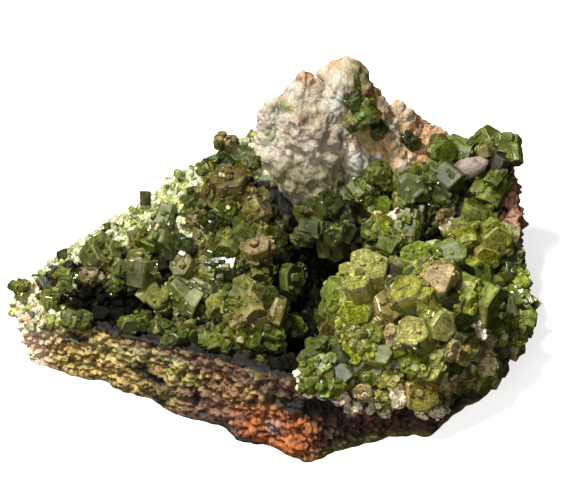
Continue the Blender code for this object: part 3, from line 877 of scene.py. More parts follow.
# Crystals that stand out in the photograph: u, v of the flat end, breadth in pixels, how far the end faces to
# the right and up as the camera sees it, and its sort.
KNOB_CRYSTALS = (
    (369, 281, 42, 0.05, 0.3, "p"),
    (345, 290, 30, -0.5, 0.3, "g"),
    (391, 288, 20, 0.25, 0.3, "d"),
    (365, 299, 20, -0.1, 0.6, "w"),
    (354, 312, 26, -0.3, 0.2, "y"),
    (386, 310, 28, 0.1, 0.2, "a"),
    (345, 333, 14, -0.5, 0.1, "p"),
    (360, 335, 20, -0.1, 0.1, "p"),
    (377, 331, 18, 0.1, 0.3, "g"),
    (392, 332, 16, 0.2, 0.1, "t"),
    (403, 340, 14, 0.2, 0.0, "p"),
    (352, 356, 18, -0.2, -0.1, "y"),
    (370, 357, 20, 0.0, -0.1, "y"),
    (386, 354, 18, 0.1, -0.1, "g"),
    (352, 374, 18, -0.2, -0.2, "p"),
    (371, 376, 18, 0.0, -0.2, "g"),
    (389, 377, 18, 0.1, -0.2, "p"),
    (361, 392, 16, -0.1, -0.4, "t"),
    (380, 396, 16, 0.0, -0.4, "p"),
    (397, 395, 18, 0.1, -0.4, "w"),
    (418, 262, 30, -0.1, 0.5, "g"),
    (445, 260, 30, 0.15, 0.5, "g"),
    (423, 272, 20, 0.0, 0.3, "p"),
    (413, 298, 28, -0.2, 0.2, "y"),
    (440, 285, 30, 0.05, 0.15, "t"),
    (472, 278, 26, 0.35, 0.35, "g"),
    (484, 302, 40, 0.4, 0.1, "g"),
    (458, 306, 18, 0.1, 0.3, "y"),
    (441, 324, 26, 0.1, 0.2, "p"),
    (420, 338, 32, -0.1, 0.15, "p"),
    (449, 348, 20, 0.1, 0.1, "t"),
    (466, 351, 20, 0.2, 0.1, "p"),
    (437, 368, 27, 0.0, 0.0, "p"),
    (410, 361, 22, -0.1, 0.0, "g"),
    (420, 391, 30, 0.1, -0.1, "a"),
    (479, 332, 20, 0.3, 0.0, "w"),
    (495, 336, 22, 0.5, 0.0, "g"),
    (470, 368, 16, 0.1, -0.2, "t"),
    (488, 366, 16, 0.3, -0.2, "t"),
    (448, 380, 16, 0.1, -0.2, "t"),
    (437, 409, 14, 0.0, -0.4, "w"),
    (303, 377, 11, -0.2, -0.3, "w"),
    (307, 389, 11, -0.1, -0.3, "w"),
    (321, 391, 11, 0.0, -0.3, "w"),
    (339, 398, 13, 0.0, -0.3, "w"),
    (352, 406, 13, 0.0, -0.3, "w"),
    (368, 404, 11, 0.0, -0.3, "w"),
    (385, 407, 13, 0.0, -0.3, "w"),
    (403, 399, 13, 0.0, -0.3, "w"),
    (421, 409, 13, 0.1, -0.3, "w"),
    (315, 352, 18, -0.3, 0.0, "d"),
    (322, 365, 18, -0.3, 0.1, "g"),
    (310, 380, 18, -0.3, 0.0, "g"),
    (328, 388, 18, -0.2, -0.1, "g"),
)
RIDGE_CRYSTALS = (
    (226, 144, 13, -0.2, 0.4, "t"),
    (231, 156, 17, -0.1, 0.2, "d"),
    (247, 161, 17, 0.0, 0.2, "g"),
    (263, 160, 14, 0.1, 0.2, "a"),
    (226, 173, 13, 0.0, 0.2, "g"),
    (207, 168, 15, 0.0, 0.2, "g"),
    (231, 188, 26, 0.0, 0.3, "a"),
    (228, 207, 18, 0.0, 0.1, "g"),
    (237, 207, 10, 0.1, 0.1, "p"),
    (254, 210, 25, 0.05, 0.1, "t"),
    (248, 196, 16, 0.0, 0.3, "a"),
    (209, 240, 13, -0.3, 0.0, "p"),
    (277, 238, 14, 0.3, 0.0, "d"),
    (224, 268, 24, 0.0, 0.1, "d"),
    (180, 318, 14, 0.0, -0.2, "t"),
    (200, 322, 16, 0.1, -0.2, "d"),
    (192, 202, 16, 0.0, 0.3, "g"),
    (207, 196, 16, 0.0, 0.3, "a"),
    (193, 216, 14, 0.0, 0.2, "a"),
    (210, 222, 20, 0.0, 0.3, "d"),
    (223, 234, 17, 0.0, 0.4, "y"),
    (227, 249, 26, 0.0, 0.2, "g"),
    (244, 232, 20, 0.0, 0.3, "g"),
    (265, 231, 20, 0.1, 0.2, "p"),
    (255, 251, 27, 0.0, 0.0, "t"),
    (209, 271, 20, 0.0, 0.2, "y"),
    (187, 268, 20, 0.0, 0.2, "p"),
    (185, 248, 16, 0.0, 0.2, "d"),
    (254, 275, 20, 0.0, 0.2, "g"),
    (263, 276, 12, 0.0, 0.1, "p"),
    (287, 278, 30, 0.1, 0.2, "g"),
    (322, 210, 26, 0.0, 0.4, "d"),
    (314, 228, 20, 0.0, 0.2, "d"),
    (334, 232, 20, 0.1, 0.2, "g"),
    (345, 222, 16, 0.2, 0.2, "d"),
)
LEFT_CRYSTALS = (
    (20, 289, 12, -0.1, 0.3, "y"),
    (50, 302, 15, 0.0, 0.2, "y"),
    (67, 276, 12, 0.0, 0.3, "g"),
    (97, 256, 24, 0.0, 0.3, "p"),
    (91, 275, 15, 0.0, 0.1, "t"),
    (116, 267, 17, 0.0, 0.2, "g"),
    (116, 285, 17, 0.0, 0.2, "g"),
    (142, 270, 30, 0.0, 0.2, "p"),
    (162, 234, 28, 0.0, 0.3, "g"),
    (167, 248, 17, 0.0, 0.2, "d"),
    (141, 238, 15, 0.0, 0.3, "t"),
    (161, 298, 26, 0.0, 0.3, "y"),
    (190, 298, 30, 0.1, 0.3, "p"),
    (128, 326, 16, 0.0, 0.5, "g"),
    (143, 323, 17, 0.0, 0.5, "g"),
    (156, 328, 14, 0.0, 0.5, "g"),
    (70, 319, 13, 0.0, 0.4, "g"),
    (84, 320, 13, 0.0, 0.4, "g"),
    (177, 340, 14, 0.0, 0.4, "g"),
    (189, 338, 13, 0.0, 0.4, "g"),
)
MIDDLE_CRYSTALS = (
    (218, 305, 18, -0.2, 0.2, "p"),
    (253, 293, 20, 0.0, 0.4, "p"),
    (235, 300, 20, -0.1, 0.3, "g"),
    (247, 309, 26, 0.0, 0.1, "t"),
    (271, 313, 20, 0.2, 0.2, "t"),
    (233, 317, 12, -0.2, -0.2, "a"),
    (278, 307, 18, 0.3, 0.2, "g"),
    (248, 335, 22, 0.0, 0.0, "g"),
    (272, 332, 22, 0.2, 0.0, "g"),
    (230, 335, 18, -0.2, 0.0, "g"),
    (242, 345, 15, 0.0, 0.3, "y"),
    (292, 327, 19, 0.1, 0.3, "g"),
    (215, 345, 18, 0.0, 0.3, "g"),
    (273, 348, 16, 0.0, 0.3, "g"),
    (258, 348, 14, 0.0, 0.3, "g"),
)
BACK_CRYSTALS = (
    (367, 114, 17, 0.0, 0.3, "g"),
    (355, 100, 14, 0.0, 0.3, "d"),
    (352, 118, 12, 0.0, 0.3, "p"),
    (360, 132, 14, 0.0, 0.3, "g"),
    (377, 130, 14, 0.0, 0.3, "d"),
    (382, 144, 12, 0.0, 0.3, "g"),
    (357, 190, 16, 0.0, 0.3, "g"),
    (378, 172, 16, 0.0, 0.3, "g"),
    (410, 145, 18, 0.0, 0.3, "d"),
    (396, 148, 14, 0.0, 0.3, "g"),
    (441, 152, 22, 0.0, 0.4, "g"),
    (463, 149, 17, 0.0, 0.4, "g"),
    (485, 143, 24, 0.0, 0.4, "g"),
    (508, 148, 23, 0.1, 0.4, "g"),
    (415, 188, 26, 0.0, 0.3, "g"),
    (397, 180, 18, 0.0, 0.3, "g"),
    (427, 175, 18, 0.0, 0.3, "g"),
    (378, 206, 20, -0.2, 0.3, "g"),
    (400, 205, 18, 0.0, 0.4, "p"),
    (411, 212, 12, 0.2, 0.2, "g"),
    (395, 221, 14, 0.0, 0.2, "w"),
    (384, 225, 18, 0.0, 0.2, "y"),
    (388, 243, 20, 0.0, 0.0, "g"),
    (409, 227, 22, 0.3, 0.1, "g"),
    (372, 230, 16, -0.4, 0.1, "g"),
    (448, 181, 25, 0.0, 0.3, "d"),
    (446, 212, 17, 0.0, 0.2, "t"),
    (447, 225, 10, 0.0, 0.2, "w"),
    (476, 216, 26, 0.0, 0.4, "g"),
    (492, 190, 26, 0.0, 0.3, "g"),
    (509, 188, 17, 0.0, 0.3, "g"),
    (467, 240, 26, 0.0, 0.3, "y"),
    (495, 243, 28, 0.0, 0.3, "y"),
    (440, 200, 18, 0.0, 0.3, "d"),
)
FLANK_CRYSTALS = (
    (514, 262, 17, 0.3, 0.2, "d"),
    (521, 282, 17, 0.4, 0.2, "g"),
    (524, 302, 17, 0.4, 0.1, "g"),
    (525, 322, 17, 0.4, 0.0, "g"),
    (516, 342, 15, 0.3, 0.0, "g"),
    (505, 272, 17, 0.3, 0.3, "d"),
    (512, 300, 15, 0.3, 0.2, "d"),
)


def unit(ways):
    """These ways, each made 1 long."""
    return ways / np.maximum(np.linalg.norm(ways, axis=-1, keepdims=True), 1e-9)


def together(*batches):
    """Several batches as one."""
    return {key: np.concatenate([one[key] for one in batches]) for key in batches[0]}


def varied(colours, draw, amount):
    """Each colour made a little lighter or darker, and yellower or bluer."""
    light = np.exp(draw.normal(0, amount, (len(colours), 1)))
    warm = draw.normal(0, amount * 0.35, (len(colours), 1))
    return np.asarray(colours) * light * np.concatenate([1 + warm, np.ones_like(warm), 1 - warm], axis=1)


def side_ways(axes, turns):
    """Two ways square to each axis and to each other, turned about it."""
    helper = np.where(np.abs(axes[:, 2:3]) < 0.9, (0.0, 0.0, 1.0), (1.0, 0.0, 0.0))
    first = unit(np.cross(helper, axes))
    second = np.cross(axes, first)
    turned = np.cos(turns)[:, None] * first + np.sin(turns)[:, None] * second
    return turned, np.cross(axes, turned)


# Where no crystal shows, on the quartz, its stained band, the back rim and the right edge: u, v of the
# middle, and half the breadth and height in pixels.
BARE_PATCHES = (
    (303, 125, 44, 54),
    (288, 160, 30, 28),
    (322, 160, 34, 28),
    (362, 150, 20, 22),
    (385, 150, 28, 13),
    (405, 160, 16, 10),
    (440, 121, 44, 17),
    (515, 198, 10, 42),
)


def off_bare(crystals):
    """These crystals without those that the camera sees on a bare patch."""
    u, v = seen_at(crystals["middle"])
    clear = np.ones(len(u), bool)
    for middle_u, middle_v, half_u, half_v in BARE_PATCHES:
        clear &= ((u - middle_u) / half_u) ** 2 + ((v - middle_v) / half_v) ** 2 > 1
    return {key: values[clear] for key, values in crystals.items()}


SEEN_SHARE = 0.57  # of its breadth in the photograph, against half: neighbours hide some of each crystal


def listed_crystals(rows, draw, tumble=0.75, painted_lighting=1.0):
    """Crystals placed by the pixel of their middle, standing on the crust that the camera sees there. Their
    flat ends are turned as listed and then tumbled at random."""
    u, v, wide, face_x, face_y = np.array([row[:5] for row in rows], float).T
    radii = wide * PIXEL * SEEN_SHARE
    middles = cast(u, v, 0.3 * radii + 0.6)
    face_in = np.sqrt(1 - face_x**2 - face_y**2)
    axes = face_x[:, None] * RIGHT + face_y[:, None] * UP - face_in[:, None] * FORWARD
    return {
        "middle": middles,
        "axis": unit(axes + draw.normal(0, tumble, axes.shape)),
        "out": crust_normal(middles),
        "radius": radii,
        "half": radii * draw.uniform(0.75, 1.1, len(rows)),
        "spin": draw.uniform(0, np.pi / 3, len(rows)),
        # painted_lighting makes a whole group's colours lighter or darker, as painted light and shade.
        "body": varied([linear(SORTS[row[5]][0]) * painted_lighting for row in rows], draw, 0.12),
        "end": varied([linear(SORTS[row[5]][1]) * painted_lighting for row in rows], draw, 0.08),
        "pit": np.maximum(0, draw.normal(-0.05, 0.1, len(rows))) * radii,
        "dull": draw.uniform(0, 1, len(rows)),
    }


def side_growths(parents, draw, each=4):
    """Smaller crystals grown into the sides of each one, lying nearly as it does and a little lower."""
    count = len(parents["radius"])
    grown = []
    for _ in range(each):
        side, _ = side_ways(parents["out"], draw.uniform(0, 2 * np.pi, count))
        shrink = draw.uniform(0.4, 0.75, count)
        reach = parents["radius"] * draw.uniform(0.65, 1.05, count)
        drop = parents["radius"] * draw.uniform(-0.1, 0.6, count)
        grown.append(
            {
                "middle": parents["middle"] + side * reach[:, None] - parents["out"] * drop[:, None],
                "axis": unit(parents["axis"] + draw.normal(0, 0.2, (count, 3))),
                "out": unit(parents["out"] + side * 0.5),
                "radius": parents["radius"] * shrink,
                "half": parents["half"] * shrink * draw.uniform(0.9, 1.3, count),
                "spin": parents["spin"] + draw.normal(0, 0.15, count),
                "body": varied(parents["body"] * 0.9, draw, 0.15),
                "end": varied(parents["body"] * 0.5 + parents["end"] * 0.5, draw, 0.1),
                "pit": np.zeros(count),
                "dull": draw.uniform(0, 1, count),
            }
        )
    return together(*grown)


# Colours of the smaller crystals: tan ones on the larger ones and the knob, green ones nearly everywhere,
# near-black ones in the gaps as painted shade, pale ones on the slope, and those of the right flank.
CRUMB_FILL = ("#7a7038", "#a08f60", "#5e5a20", "#b8a67c", "#4a4818", "#6a6a24")
FILL = ("#343b10", "#434912", "#505614", "#272d0e", "#504a1c", "#5c5e18")
PAINTED_SHADE_FILL = ("#0b0c05", "#101206", "#15140b", "#0d0f06")
PALE_FILL = ("#9aa65e", "#c4cba0", "#8a984a", "#ccd2a8", "#b0b884")
FLANK_FILL = ("#56620c", "#6a7424", "#7a7038", "#8a8450", "#464e14")


def steps_on(parents, draw, each, across=(0.5, 1.3)):
    """Little crystals grown in steps on the free sides of larger ones, lying as they do, some of them tan."""
    parents = {key: np.tile(values, (each,) + (1,) * (values.ndim - 1)) for key, values in parents.items()}
    count = len(parents["radius"])
    ways = unit(draw.normal(0, 1, (count, 3)) + parents["out"] * 0.8)
    lengthwise = (ways * parents["axis"]).sum(axis=1)
    crosswise = np.sqrt(1 - lengthwise**2)
    to_side = 0.92 * parents["radius"] / (crosswise + 0.01)
    to_end = parents["half"] / (np.abs(lengthwise) + 0.01)
    reach = np.minimum(to_side, to_end)
    radii = draw.uniform(*across, count) / 2
    tan = np.array([linear(colour) for colour in CRUMB_FILL])[draw.integers(0, len(CRUMB_FILL), count)]
    share = (draw.uniform(0, 1, (count, 1)) < 0.15) * 0.6
    return {
        "middle": parents["middle"] + ways * (reach - 0.25 * radii)[:, None],
        "axis": unit(parents["axis"] + draw.normal(0, 0.08, (count, 3))),
        "out": ways,
        "radius": radii,
        "half": radii * draw.uniform(0.6, 1.5, count),
        "spin": parents["spin"] + draw.normal(0, 0.1, count),
        "body": varied(parents["body"] * (1 - share) + tan * share, draw, 0.3),
        "end": varied(parents["end"] * (1 - share) + tan * share, draw, 0.3),
        "pit": np.zeros(count),
        "dull": draw.uniform(0, 1, count),
    }


# Rings of a crystal from end to end: its place along the half length, how far back from there against the
# radius, how wide, whether it is on a flat end, and how much painted highlight lies on its edge.
LARGE_RINGS = (
    (1, 0.0, 0.60, 1, 0.0),
    (1, 0.0, 0.93, 1, 0.0),
    (1, 0.07, 1.00, 0, 1.0),
    (0, 0.0, 1.04, 0, 0.0),
    (-1, 0.07, 1.00, 0, 1.0),
    (-1, 0.0, 0.93, 1, 0.0),
)
SMALL_RINGS = ((1, 0.0, 0.86, 1, 0.2), (1, 0.16, 1.0, 0, 0.4), (-1, 0.0, 0.9, 1, 0.0))
CORNER_CUT = 0.07  # how much of a side is cut off at each corner
EDGE_HIGHLIGHT_COLOUR, EDGE_LIGHT = linear("#d8cfa0"), 3.8  # painted highlight on the edges: a tint of the sides, and how much lighter
LOWEST_CRYSTAL, LOWEST_POINT = 2.0, 0.1  # above the card: a crystal's middle, and any point of it


def crystal_mesh(crystals, rings, bevelled, draw):
    """Points, faces and colours of crystals. Each is a hexagon with unequal sides, its corners cut off where
    bevelled, drawn in rings along its axis between two flat ends. It is darker on the side it stands on."""
    high = crystals["middle"][:, 2] > LOWEST_CRYSTAL
    crystals = {key: values[high] for key, values in crystals.items()}
    count = len(crystals["radius"])
    turns = np.arange(6) * np.pi / 3 + draw.normal(0, 0.06, (count, 6))
    walls = 0.9 * np.clip(1 + draw.normal(0, 0.13, (count, 6)), 0.75, 1.25)
    next_turns, next_walls = np.roll(turns, -1, axis=1), np.roll(walls, -1, axis=1)
    cross = np.sin(next_turns - turns)
    corner_x = (walls * np.sin(next_turns) - next_walls * np.sin(turns)) / cross
    corner_y = (np.cos(turns) * next_walls - np.cos(next_turns) * walls) / cross
    hexagon = np.stack([corner_x, corner_y], axis=-1)
    if bevelled:
        before = hexagon + CORNER_CUT * (np.roll(hexagon, 1, axis=1) - hexagon)
        after = hexagon + CORNER_CUT * (np.roll(hexagon, -1, axis=1) - hexagon)
        hexagon = np.stack([before, after], axis=2).reshape(count, 12, 2)
    sides = hexagon.shape[1]
    first, second = side_ways(crystals["axis"], crystals["spin"])
    flat = hexagon[..., 0:1] * first[:, None] + hexagon[..., 1:2] * second[:, None]
    radius, half = crystals["radius"][:, None, None], crystals["half"][:, None, None]
    axis, middle = crystals["axis"][:, None], crystals["middle"][:, None]
    tilt = (hexagon * draw.normal(0, 0.08, (count, 1, 2))).sum(axis=-1, keepdims=True) * radius
    edge_highlight = EDGE_HIGHLIGHT_COLOUR * crystals["body"].mean(axis=1, keepdims=True) * EDGE_LIGHT
    layers, shades, dullness = [], [], []
    for number, (place, back, width, on_end, highlight_share) in enumerate(rings):
        along = place * (half - back * radius) + tilt * (place > 0)
        if bevelled and number == 0:
            along = along - crystals["pit"][:, None, None]
        rough = 1 + draw.normal(0, 0.012, (count, sides, 1))
        points = middle + flat * radius * width * rough + axis * along
        # Painted shade: each point is darker the further it lies towards the side the crystal stands on.
        stands_out = ((points - middle) * crystals["out"][:, None]).sum(axis=-1, keepdims=True) / radius
        light = 0.2 + 0.9 * np.clip(0.45 + 0.6 * stands_out, 0, 1)
        light = light * np.exp(draw.normal(0, 0.12, (count, sides, 1)))
        colour = crystals["end"] * on_end + crystals["body"] * (1 - on_end)
        points[..., 2] = np.maximum(points[..., 2], LOWEST_POINT)
        layers.append(points)
        # Painted highlight: the edge rings are made lighter than the sides.
        colour = colour * (1 - 0.5 * highlight_share) + (edge_highlight + colour) * 0.5 * highlight_share
        shades.append(colour[:, None] * light)
        dullness.append(np.clip(crystals["dull"] + 0.25 * on_end, 0, 1)[:, None].repeat(sides, axis=1))
    points, colours, dull = np.stack(layers, axis=1), np.stack(shades, axis=1), np.stack(dullness, axis=1)
    rows = len(rings)
    index = np.arange(rows * sides).reshape(rows, sides)
    after = np.roll(index, -1, axis=1)
    quads = np.stack([index[:-1], index[1:], after[1:], after[:-1]], axis=-1).ravel()
    pattern = np.concatenate([index[0], quads, index[-1][::-1]])
    sizes = np.concatenate([[sides], np.full((rows - 1) * sides, 4), [sides]])
    faces = (pattern[None] + np.arange(count)[:, None] * rows * sides).ravel()
    return points.reshape(-1, 3), faces, np.tile(sizes, count), colours.reshape(-1, 3), dull.ravel()


CORE_ROWS, CORE_COLUMNS = 24, 40
CORE_SIZE, LOWEST_CORE = 0.93, 0.4  # its radius against the ball's, and how low it reaches above the card
# The cores are painted near black, as the shade between the crystals on them.
CORE_SHADE_COLOUR = linear("#1a1e0a")


def core_mesh(ball):
    """A crust ball's dark middle, just under its crystals, in the same form as crystal_mesh gives."""
    ways = ball_ways(CORE_ROWS, CORE_COLUMNS, 0.02)
    points = with_ends(ball[:3] + ways * ball[3] * CORE_SIZE)
    points[:, 2] = np.maximum(points[:, 2], LOWEST_CORE)
    faces, sizes = closed_grid(CORE_ROWS, CORE_COLUMNS)
    return points, faces, sizes, np.tile(CORE_SHADE_COLOUR, (len(points), 1)), np.ones(len(points))


def set_numbers(piece, name, numbers):
    """Writes a number for each point of the mesh as an attribute that the material reads."""
    layer = piece.data.attributes.new(name, "FLOAT", "POINT")
    layer.data.foreach_set("value", np.asarray(numbers, np.float32).ravel())


def crystal_piece(name, replaced, large, small, draw, cores=()):
    """One piece of large and small crystals and the cores under them, in place of these nodes."""
    large, small = off_bare(large), off_bare(small)
    made = [crystal_mesh(large, LARGE_RINGS, True, draw), crystal_mesh(small, SMALL_RINGS, False, draw)]
    made += [core_mesh(BALLS[number]) for number in cores]
    starts = np.cumsum([0] + [len(one[0]) for one in made])
    points, sizes, colours, dull = (np.concatenate([one[k] for one in made]) for k in (0, 2, 3, 4))
    faces = np.concatenate([one[1] + start for one, start in zip(made, starts)])
    piece = mesh_piece(name, points, faces, smooth=False, sizes=sizes)
    set_colours(piece, "tint", colours)
    set_numbers(piece, "dull", dull)
    piece.data.materials.append(pyromorphite)
    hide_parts(*replaced)
    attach(piece, "root")


# Pyromorphite: resinous and a little translucent, so edges and thin tips glow yellow green, and faces that
# meet the light flash white. The ends are duller and finely pitted.
pyromorphite, tree = new_material("resinous_pyromorphite")
place = node(tree, "ShaderNodeTexCoord")
tint = node(tree, "ShaderNodeAttribute", {"attribute_name": "tint"})
cloud = node(
    tree,
    "ShaderNodeTexNoise",
    {"Scale": 900.0, "Detail": 5.0, "Roughness": 0.7},
    Vector=place.outputs["Object"],
)
cloud_tone = node(
    tree,
    "ShaderNodeMapRange",
    {"From Min": 0.3, "From Max": 0.7, "To Min": 0.3, "To Max": 1.6},
    Value=cloud.outputs["Fac"],
)
tinted = node(
    tree,
    "ShaderNodeVectorMath",
    {"operation": "SCALE"},
    Vector=tint.outputs["Color"],
    Scale=cloud_tone.outputs[0],
)
dusting = node(
    tree,
    "ShaderNodeTexNoise",
    {"Scale": 1300.0, "Detail": 6.0, "Roughness": 0.75},
    Vector=place.outputs["Object"],
)
dusted = node(
    tree,
    "ShaderNodeMapRange",
    {"From Min": 0.52, "From Max": 0.72, "To Min": 0.0, "To Max": 0.45},
    Value=dusting.outputs["Fac"],
)
tanned = node(
    tree,
    "ShaderNodeVectorMath",
    {"operation": "MULTIPLY", 0: tinted.outputs[0], 1: (2.2, 1.7, 2.8)},
)
dust = node(
    tree,
    "ShaderNodeMix",
    {"data_type": "RGBA", 6: tinted.outputs[0], 7: tanned.outputs[0]},
    Factor=dusted.outputs[0],
)
dull = node(tree, "ShaderNodeAttribute", {"attribute_name": "dull"})
pitting = node(
    tree,
    "ShaderNodeTexNoise",
    {"Scale": 2600.0, "Detail": 4.0, "Roughness": 0.75},
    Vector=place.outputs["Object"],
)
pit_tone = node(
    tree,
    "ShaderNodeMapRange",
    {"From Min": 0.35, "From Max": 0.65, "To Min": 0.3, "To Max": 1.8},
    Value=pitting.outputs["Fac"],
)
pitted = node(
    tree,
    "ShaderNodeVectorMath",
    {"operation": "SCALE"},
    Vector=dust.outputs[2],
    Scale=pit_tone.outputs[0],
)
faced = node(
    tree,
    "ShaderNodeMix",
    {"data_type": "RGBA", 6: dust.outputs[2], 7: pitted.outputs[0]},
    Factor=dull.outputs["Fac"],
)
face_bump = node(
    tree,
    "ShaderNodeBump",
    {"Distance": 0.0002},
    Height=pitting.outputs["Fac"],
    Strength=dull.outputs["Fac"],
)
gloss = node(
    tree,
    "ShaderNodeMapRange",
    {"From Min": 0.0, "From Max": 0.8, "To Min": 0.05, "To Max": 0.6},
    Value=dull.outputs["Fac"],
)
shine = node(
    tree,
    "ShaderNodeMapRange",
    {"From Min": 0.2, "From Max": 0.9, "To Min": 0.8, "To Max": 0.03},
    Value=dull.outputs["Fac"],
)
pyromorphite_shader = node(
    tree,
    "ShaderNodeBsdfPrincipled",
    {
        "IOR": 1.75,
        "Subsurface Weight": 0.15,
        "Subsurface Radius": (0.9, 0.9, 0.1),
        "Subsurface Scale": 0.001,
    },
    Base_Color=faced.outputs[2],
    Roughness=gloss.outputs[0],
    Specular_IOR_Level=shine.outputs[0],
    Normal=face_bump.outputs["Normal"],
)
finish_material(tree, pyromorphite_shader)


def scattered(points, outs, draw, across, colours, lean=1.1, rise=-0.2, dullest=0.3):
    """Crystals at these points, turned at random about the outward way there. They stand out by rise of their
    radius and up to 0.7 more, and from 0 to 1 they are at least as dull as said."""
    count = len(points)
    radii = draw.uniform(*across, count) / 2
    picked = np.array([linear(colour) for colour in colours])[draw.integers(0, len(colours), count)]
    return {
        "middle": points + outs * (radii * draw.uniform(rise, rise + 0.7, count))[:, None],
        "axis": unit(outs + draw.normal(0, lean, (count, 3))),
        "out": outs,
        "radius": radii,
        "half": radii * draw.uniform(0.8, 1.4, count),
        "spin": draw.uniform(0, np.pi / 3, count),
        "body": varied(picked, draw, 0.22),
        "end": varied(picked, draw, 0.18),
        "pit": np.zeros(count),
        "dull": draw.uniform(dullest, 1, count),
    }


def thinned(points, spacing, taken, taken_radii, draw, tries):
    """Which of some random rows of points keep this distance from each other and from crystals there."""
    order = draw.permutation(len(points))[:tries]
    kept = []
    for number in order:
        point = points[number]
        if len(taken) and (np.linalg.norm(taken - point, axis=1) < taken_radii * 0.8 + spacing * 0.2).any():
            continue
        if kept and (np.linalg.norm(points[kept] - point, axis=1) < spacing).any():
            continue
        kept.append(number)
    return np.array(kept, int)


def ball_points(ball, count, lowest=-0.7):
    """Points and outward ways spread evenly over a ball, as a spiral from its top down to lowest."""
    step = np.arange(count) + 0.5
    height = 1 - step / count * (1 - lowest)
    turn = step * np.pi * (3 - np.sqrt(5))
    flat = np.sqrt(1 - height**2)
    outs = np.stack([flat * np.cos(turn), flat * np.sin(turn), height], axis=-1)
    return ball[:3] + outs * ball[3], outs


BALL_TRIES = 60  # places tried on a ball, times the square of its radius


def fill_balls(numbers, large, draw, spacing, across, colours, lean=0.8):
    """Crystals between the placed ones on these balls of the crust, outside the other balls and the rock."""
    found = []
    for number in numbers:
        points, outs = ball_points(BALLS[number], int(BALLS[number][3] ** 2 * BALL_TRIES))
        clear = points[:, 2] > np.maximum(ground(points[:, 0], points[:, 1]) - 0.5, LOWEST_CRYSTAL)
        for other, ball in enumerate(BALLS):
            if other != number:
                clear &= np.linalg.norm(points - ball[:3], axis=1) > ball[3] * 0.96
        points, outs = points[clear], outs[clear]
        kept = thinned(points, spacing, large["middle"], large["radius"], draw, len(points))
        found.append(scattered(points[kept], outs[kept], draw, across, colours, lean))
    return together(*found)


# The gaps between clumps, where the crystals are painted near black as shade: u, v of the middle, and half
# their breadth and height in pixels.
GAPS = (
    (108, 303, 46, 21),
    (303, 320, 40, 82),
    (315, 270, 30, 34),
    (165, 276, 15, 14),
    (435, 240, 15, 10),
    (355, 190, 15, 10),
)
# The rock's top as a list of points. Its grid is denser towards the middle, which row_weight evens out.
GROUND_WAY = (0.0, -0.2, 0.8)  # crystals on it stand mostly up, and a little to the front
top_points = rock_points[:TOP_ROWS].reshape(-1, 3)
top_normals = rock_normals[:TOP_ROWS].reshape(-1, 3)
row_weight = np.repeat(top_share[:, 0], ROCK_COLUMNS)
plan_x, plan_y = top_points[:, 0], top_points[:, 1]


def within(x_middle, y_middle, half_x, half_y):
    """1 for points of the rock's top inside an ellipse of the plan, and 0 outside."""
    return (((plan_x - x_middle) / half_x) ** 2 + ((plan_y - y_middle) / half_y) ** 2 < 1).astype(float)


top_u, top_v = seen_at(top_points)
on_slope = slope[:TOP_ROWS].ravel() > 0.5
on_band = back_band[:TOP_ROWS].ravel() > 0.5
bare = on_slope | on_band
in_gap = np.zeros(len(top_points), bool)
for gap_u, gap_v, half_u, half_v in GAPS:
    in_gap |= ((top_u - gap_u) / half_u) ** 2 + ((top_v - gap_v) / half_v) ** 2 < 1


def fill_ground(inside, large, draw, spacing, across, colours, rise=-0.2, dullest=0.3, tries=4000):
    """Crystals between the placed ones on the rock's top, where the mask says, this far apart and across."""
    weight = row_weight * inside
    tries = min(tries, int((weight > 0).sum()))
    picked = draw.choice(len(top_points), tries, replace=False, p=weight / weight.sum())
    points, outs = top_points[picked], unit(top_normals[picked] * 0.5 + GROUND_WAY)
    kept = thinned(points, spacing, large["middle"] - large["out"], large["radius"], draw, tries)
    return scattered(points[kept], outs[kept], draw, across, colours, rise=rise, dullest=dullest)


def fill_area(area, large, draw):
    """Middle-sized and then small crystals over an area of the rock's top: green, and black in the gaps."""
    filling = together(
        fill_ground(area * ~in_gap, large, draw, 2.2, (1.6, 2.8), FILL, rise=-0.5),
        # The near-black crystals in the gaps are painted shade.
        fill_ground(area * in_gap, large, draw, 2.4, (1.8, 3.2), PAINTED_SHADE_FILL, rise=-0.5, dullest=1),
    )
    beside = together(large, filling)
    small = together(
        fill_ground(area * ~in_gap, beside, draw, 0.9, (0.9, 1.7), PAINTED_SHADE_FILL + FILL),
        fill_ground(area * in_gap, beside, draw, 1.0, (0.9, 1.7), PAINTED_SHADE_FILL, rise=0, dullest=1),
    )
    return filling, small


def grown(rows, draw, tumble=0.75, painted_lighting=1.0):
    """The listed crystals with the smaller ones grown into their sides, and the steps on both."""
    large = listed_crystals(rows, draw, tumble, painted_lighting)
    large = off_bare(together(large, side_growths(large, draw)))
    return large, steps_on(large, draw, 9)


# The knob's own crystals, on its lobes and on the smaller balls along its foot.
draw = np.random.default_rng(11)
# The knob's colours are painted lighter, as the light on its raised lobes.
large, steps = grown(KNOB_CRYSTALS, draw, tumble=0.5, painted_lighting=1.45)
lobes, foot_balls = (0, 1, 6), (7, 8)
filling = together(
    fill_balls(lobes, large, draw, 2.2, (2.6, 4.2), FILL),
    fill_balls(foot_balls, large, draw, 1.8, (1.8, 2.8), CRUMB_FILL),
)
small = fill_balls(lobes + foot_balls, together(large, filling), draw, 0.85, (0.9, 1.8), FILL + CRUMB_FILL)
large, small = together(large, filling), together(steps, small)
crystal_piece("knob_druse", ["knob_crystals"], large, small, draw, lobes + foot_balls)

# The ridge on the left of the hollow: a crust of stubby pyromorphite crystals, some amber or tan, that has
# grown on the rock up to the quartz. The large ones are listed, and smaller ones fill in between them.
draw = np.random.default_rng(12)
# The ridge's colours are painted darker, as shade.
large, steps = grown(RIDGE_CRYSTALS, draw, painted_lighting=0.76)
area = np.maximum.reduce([within(-6.5, 10, 8, 6.5), within(-15, 11.5, 8, 3.5), within(-9, 4, 8, 7)]) * ~bare
filling, small = fill_area(area, large, draw)
crystal_piece("ridge_druse", ["ridge_crystals"], together(large, filling), together(steps, small), draw)

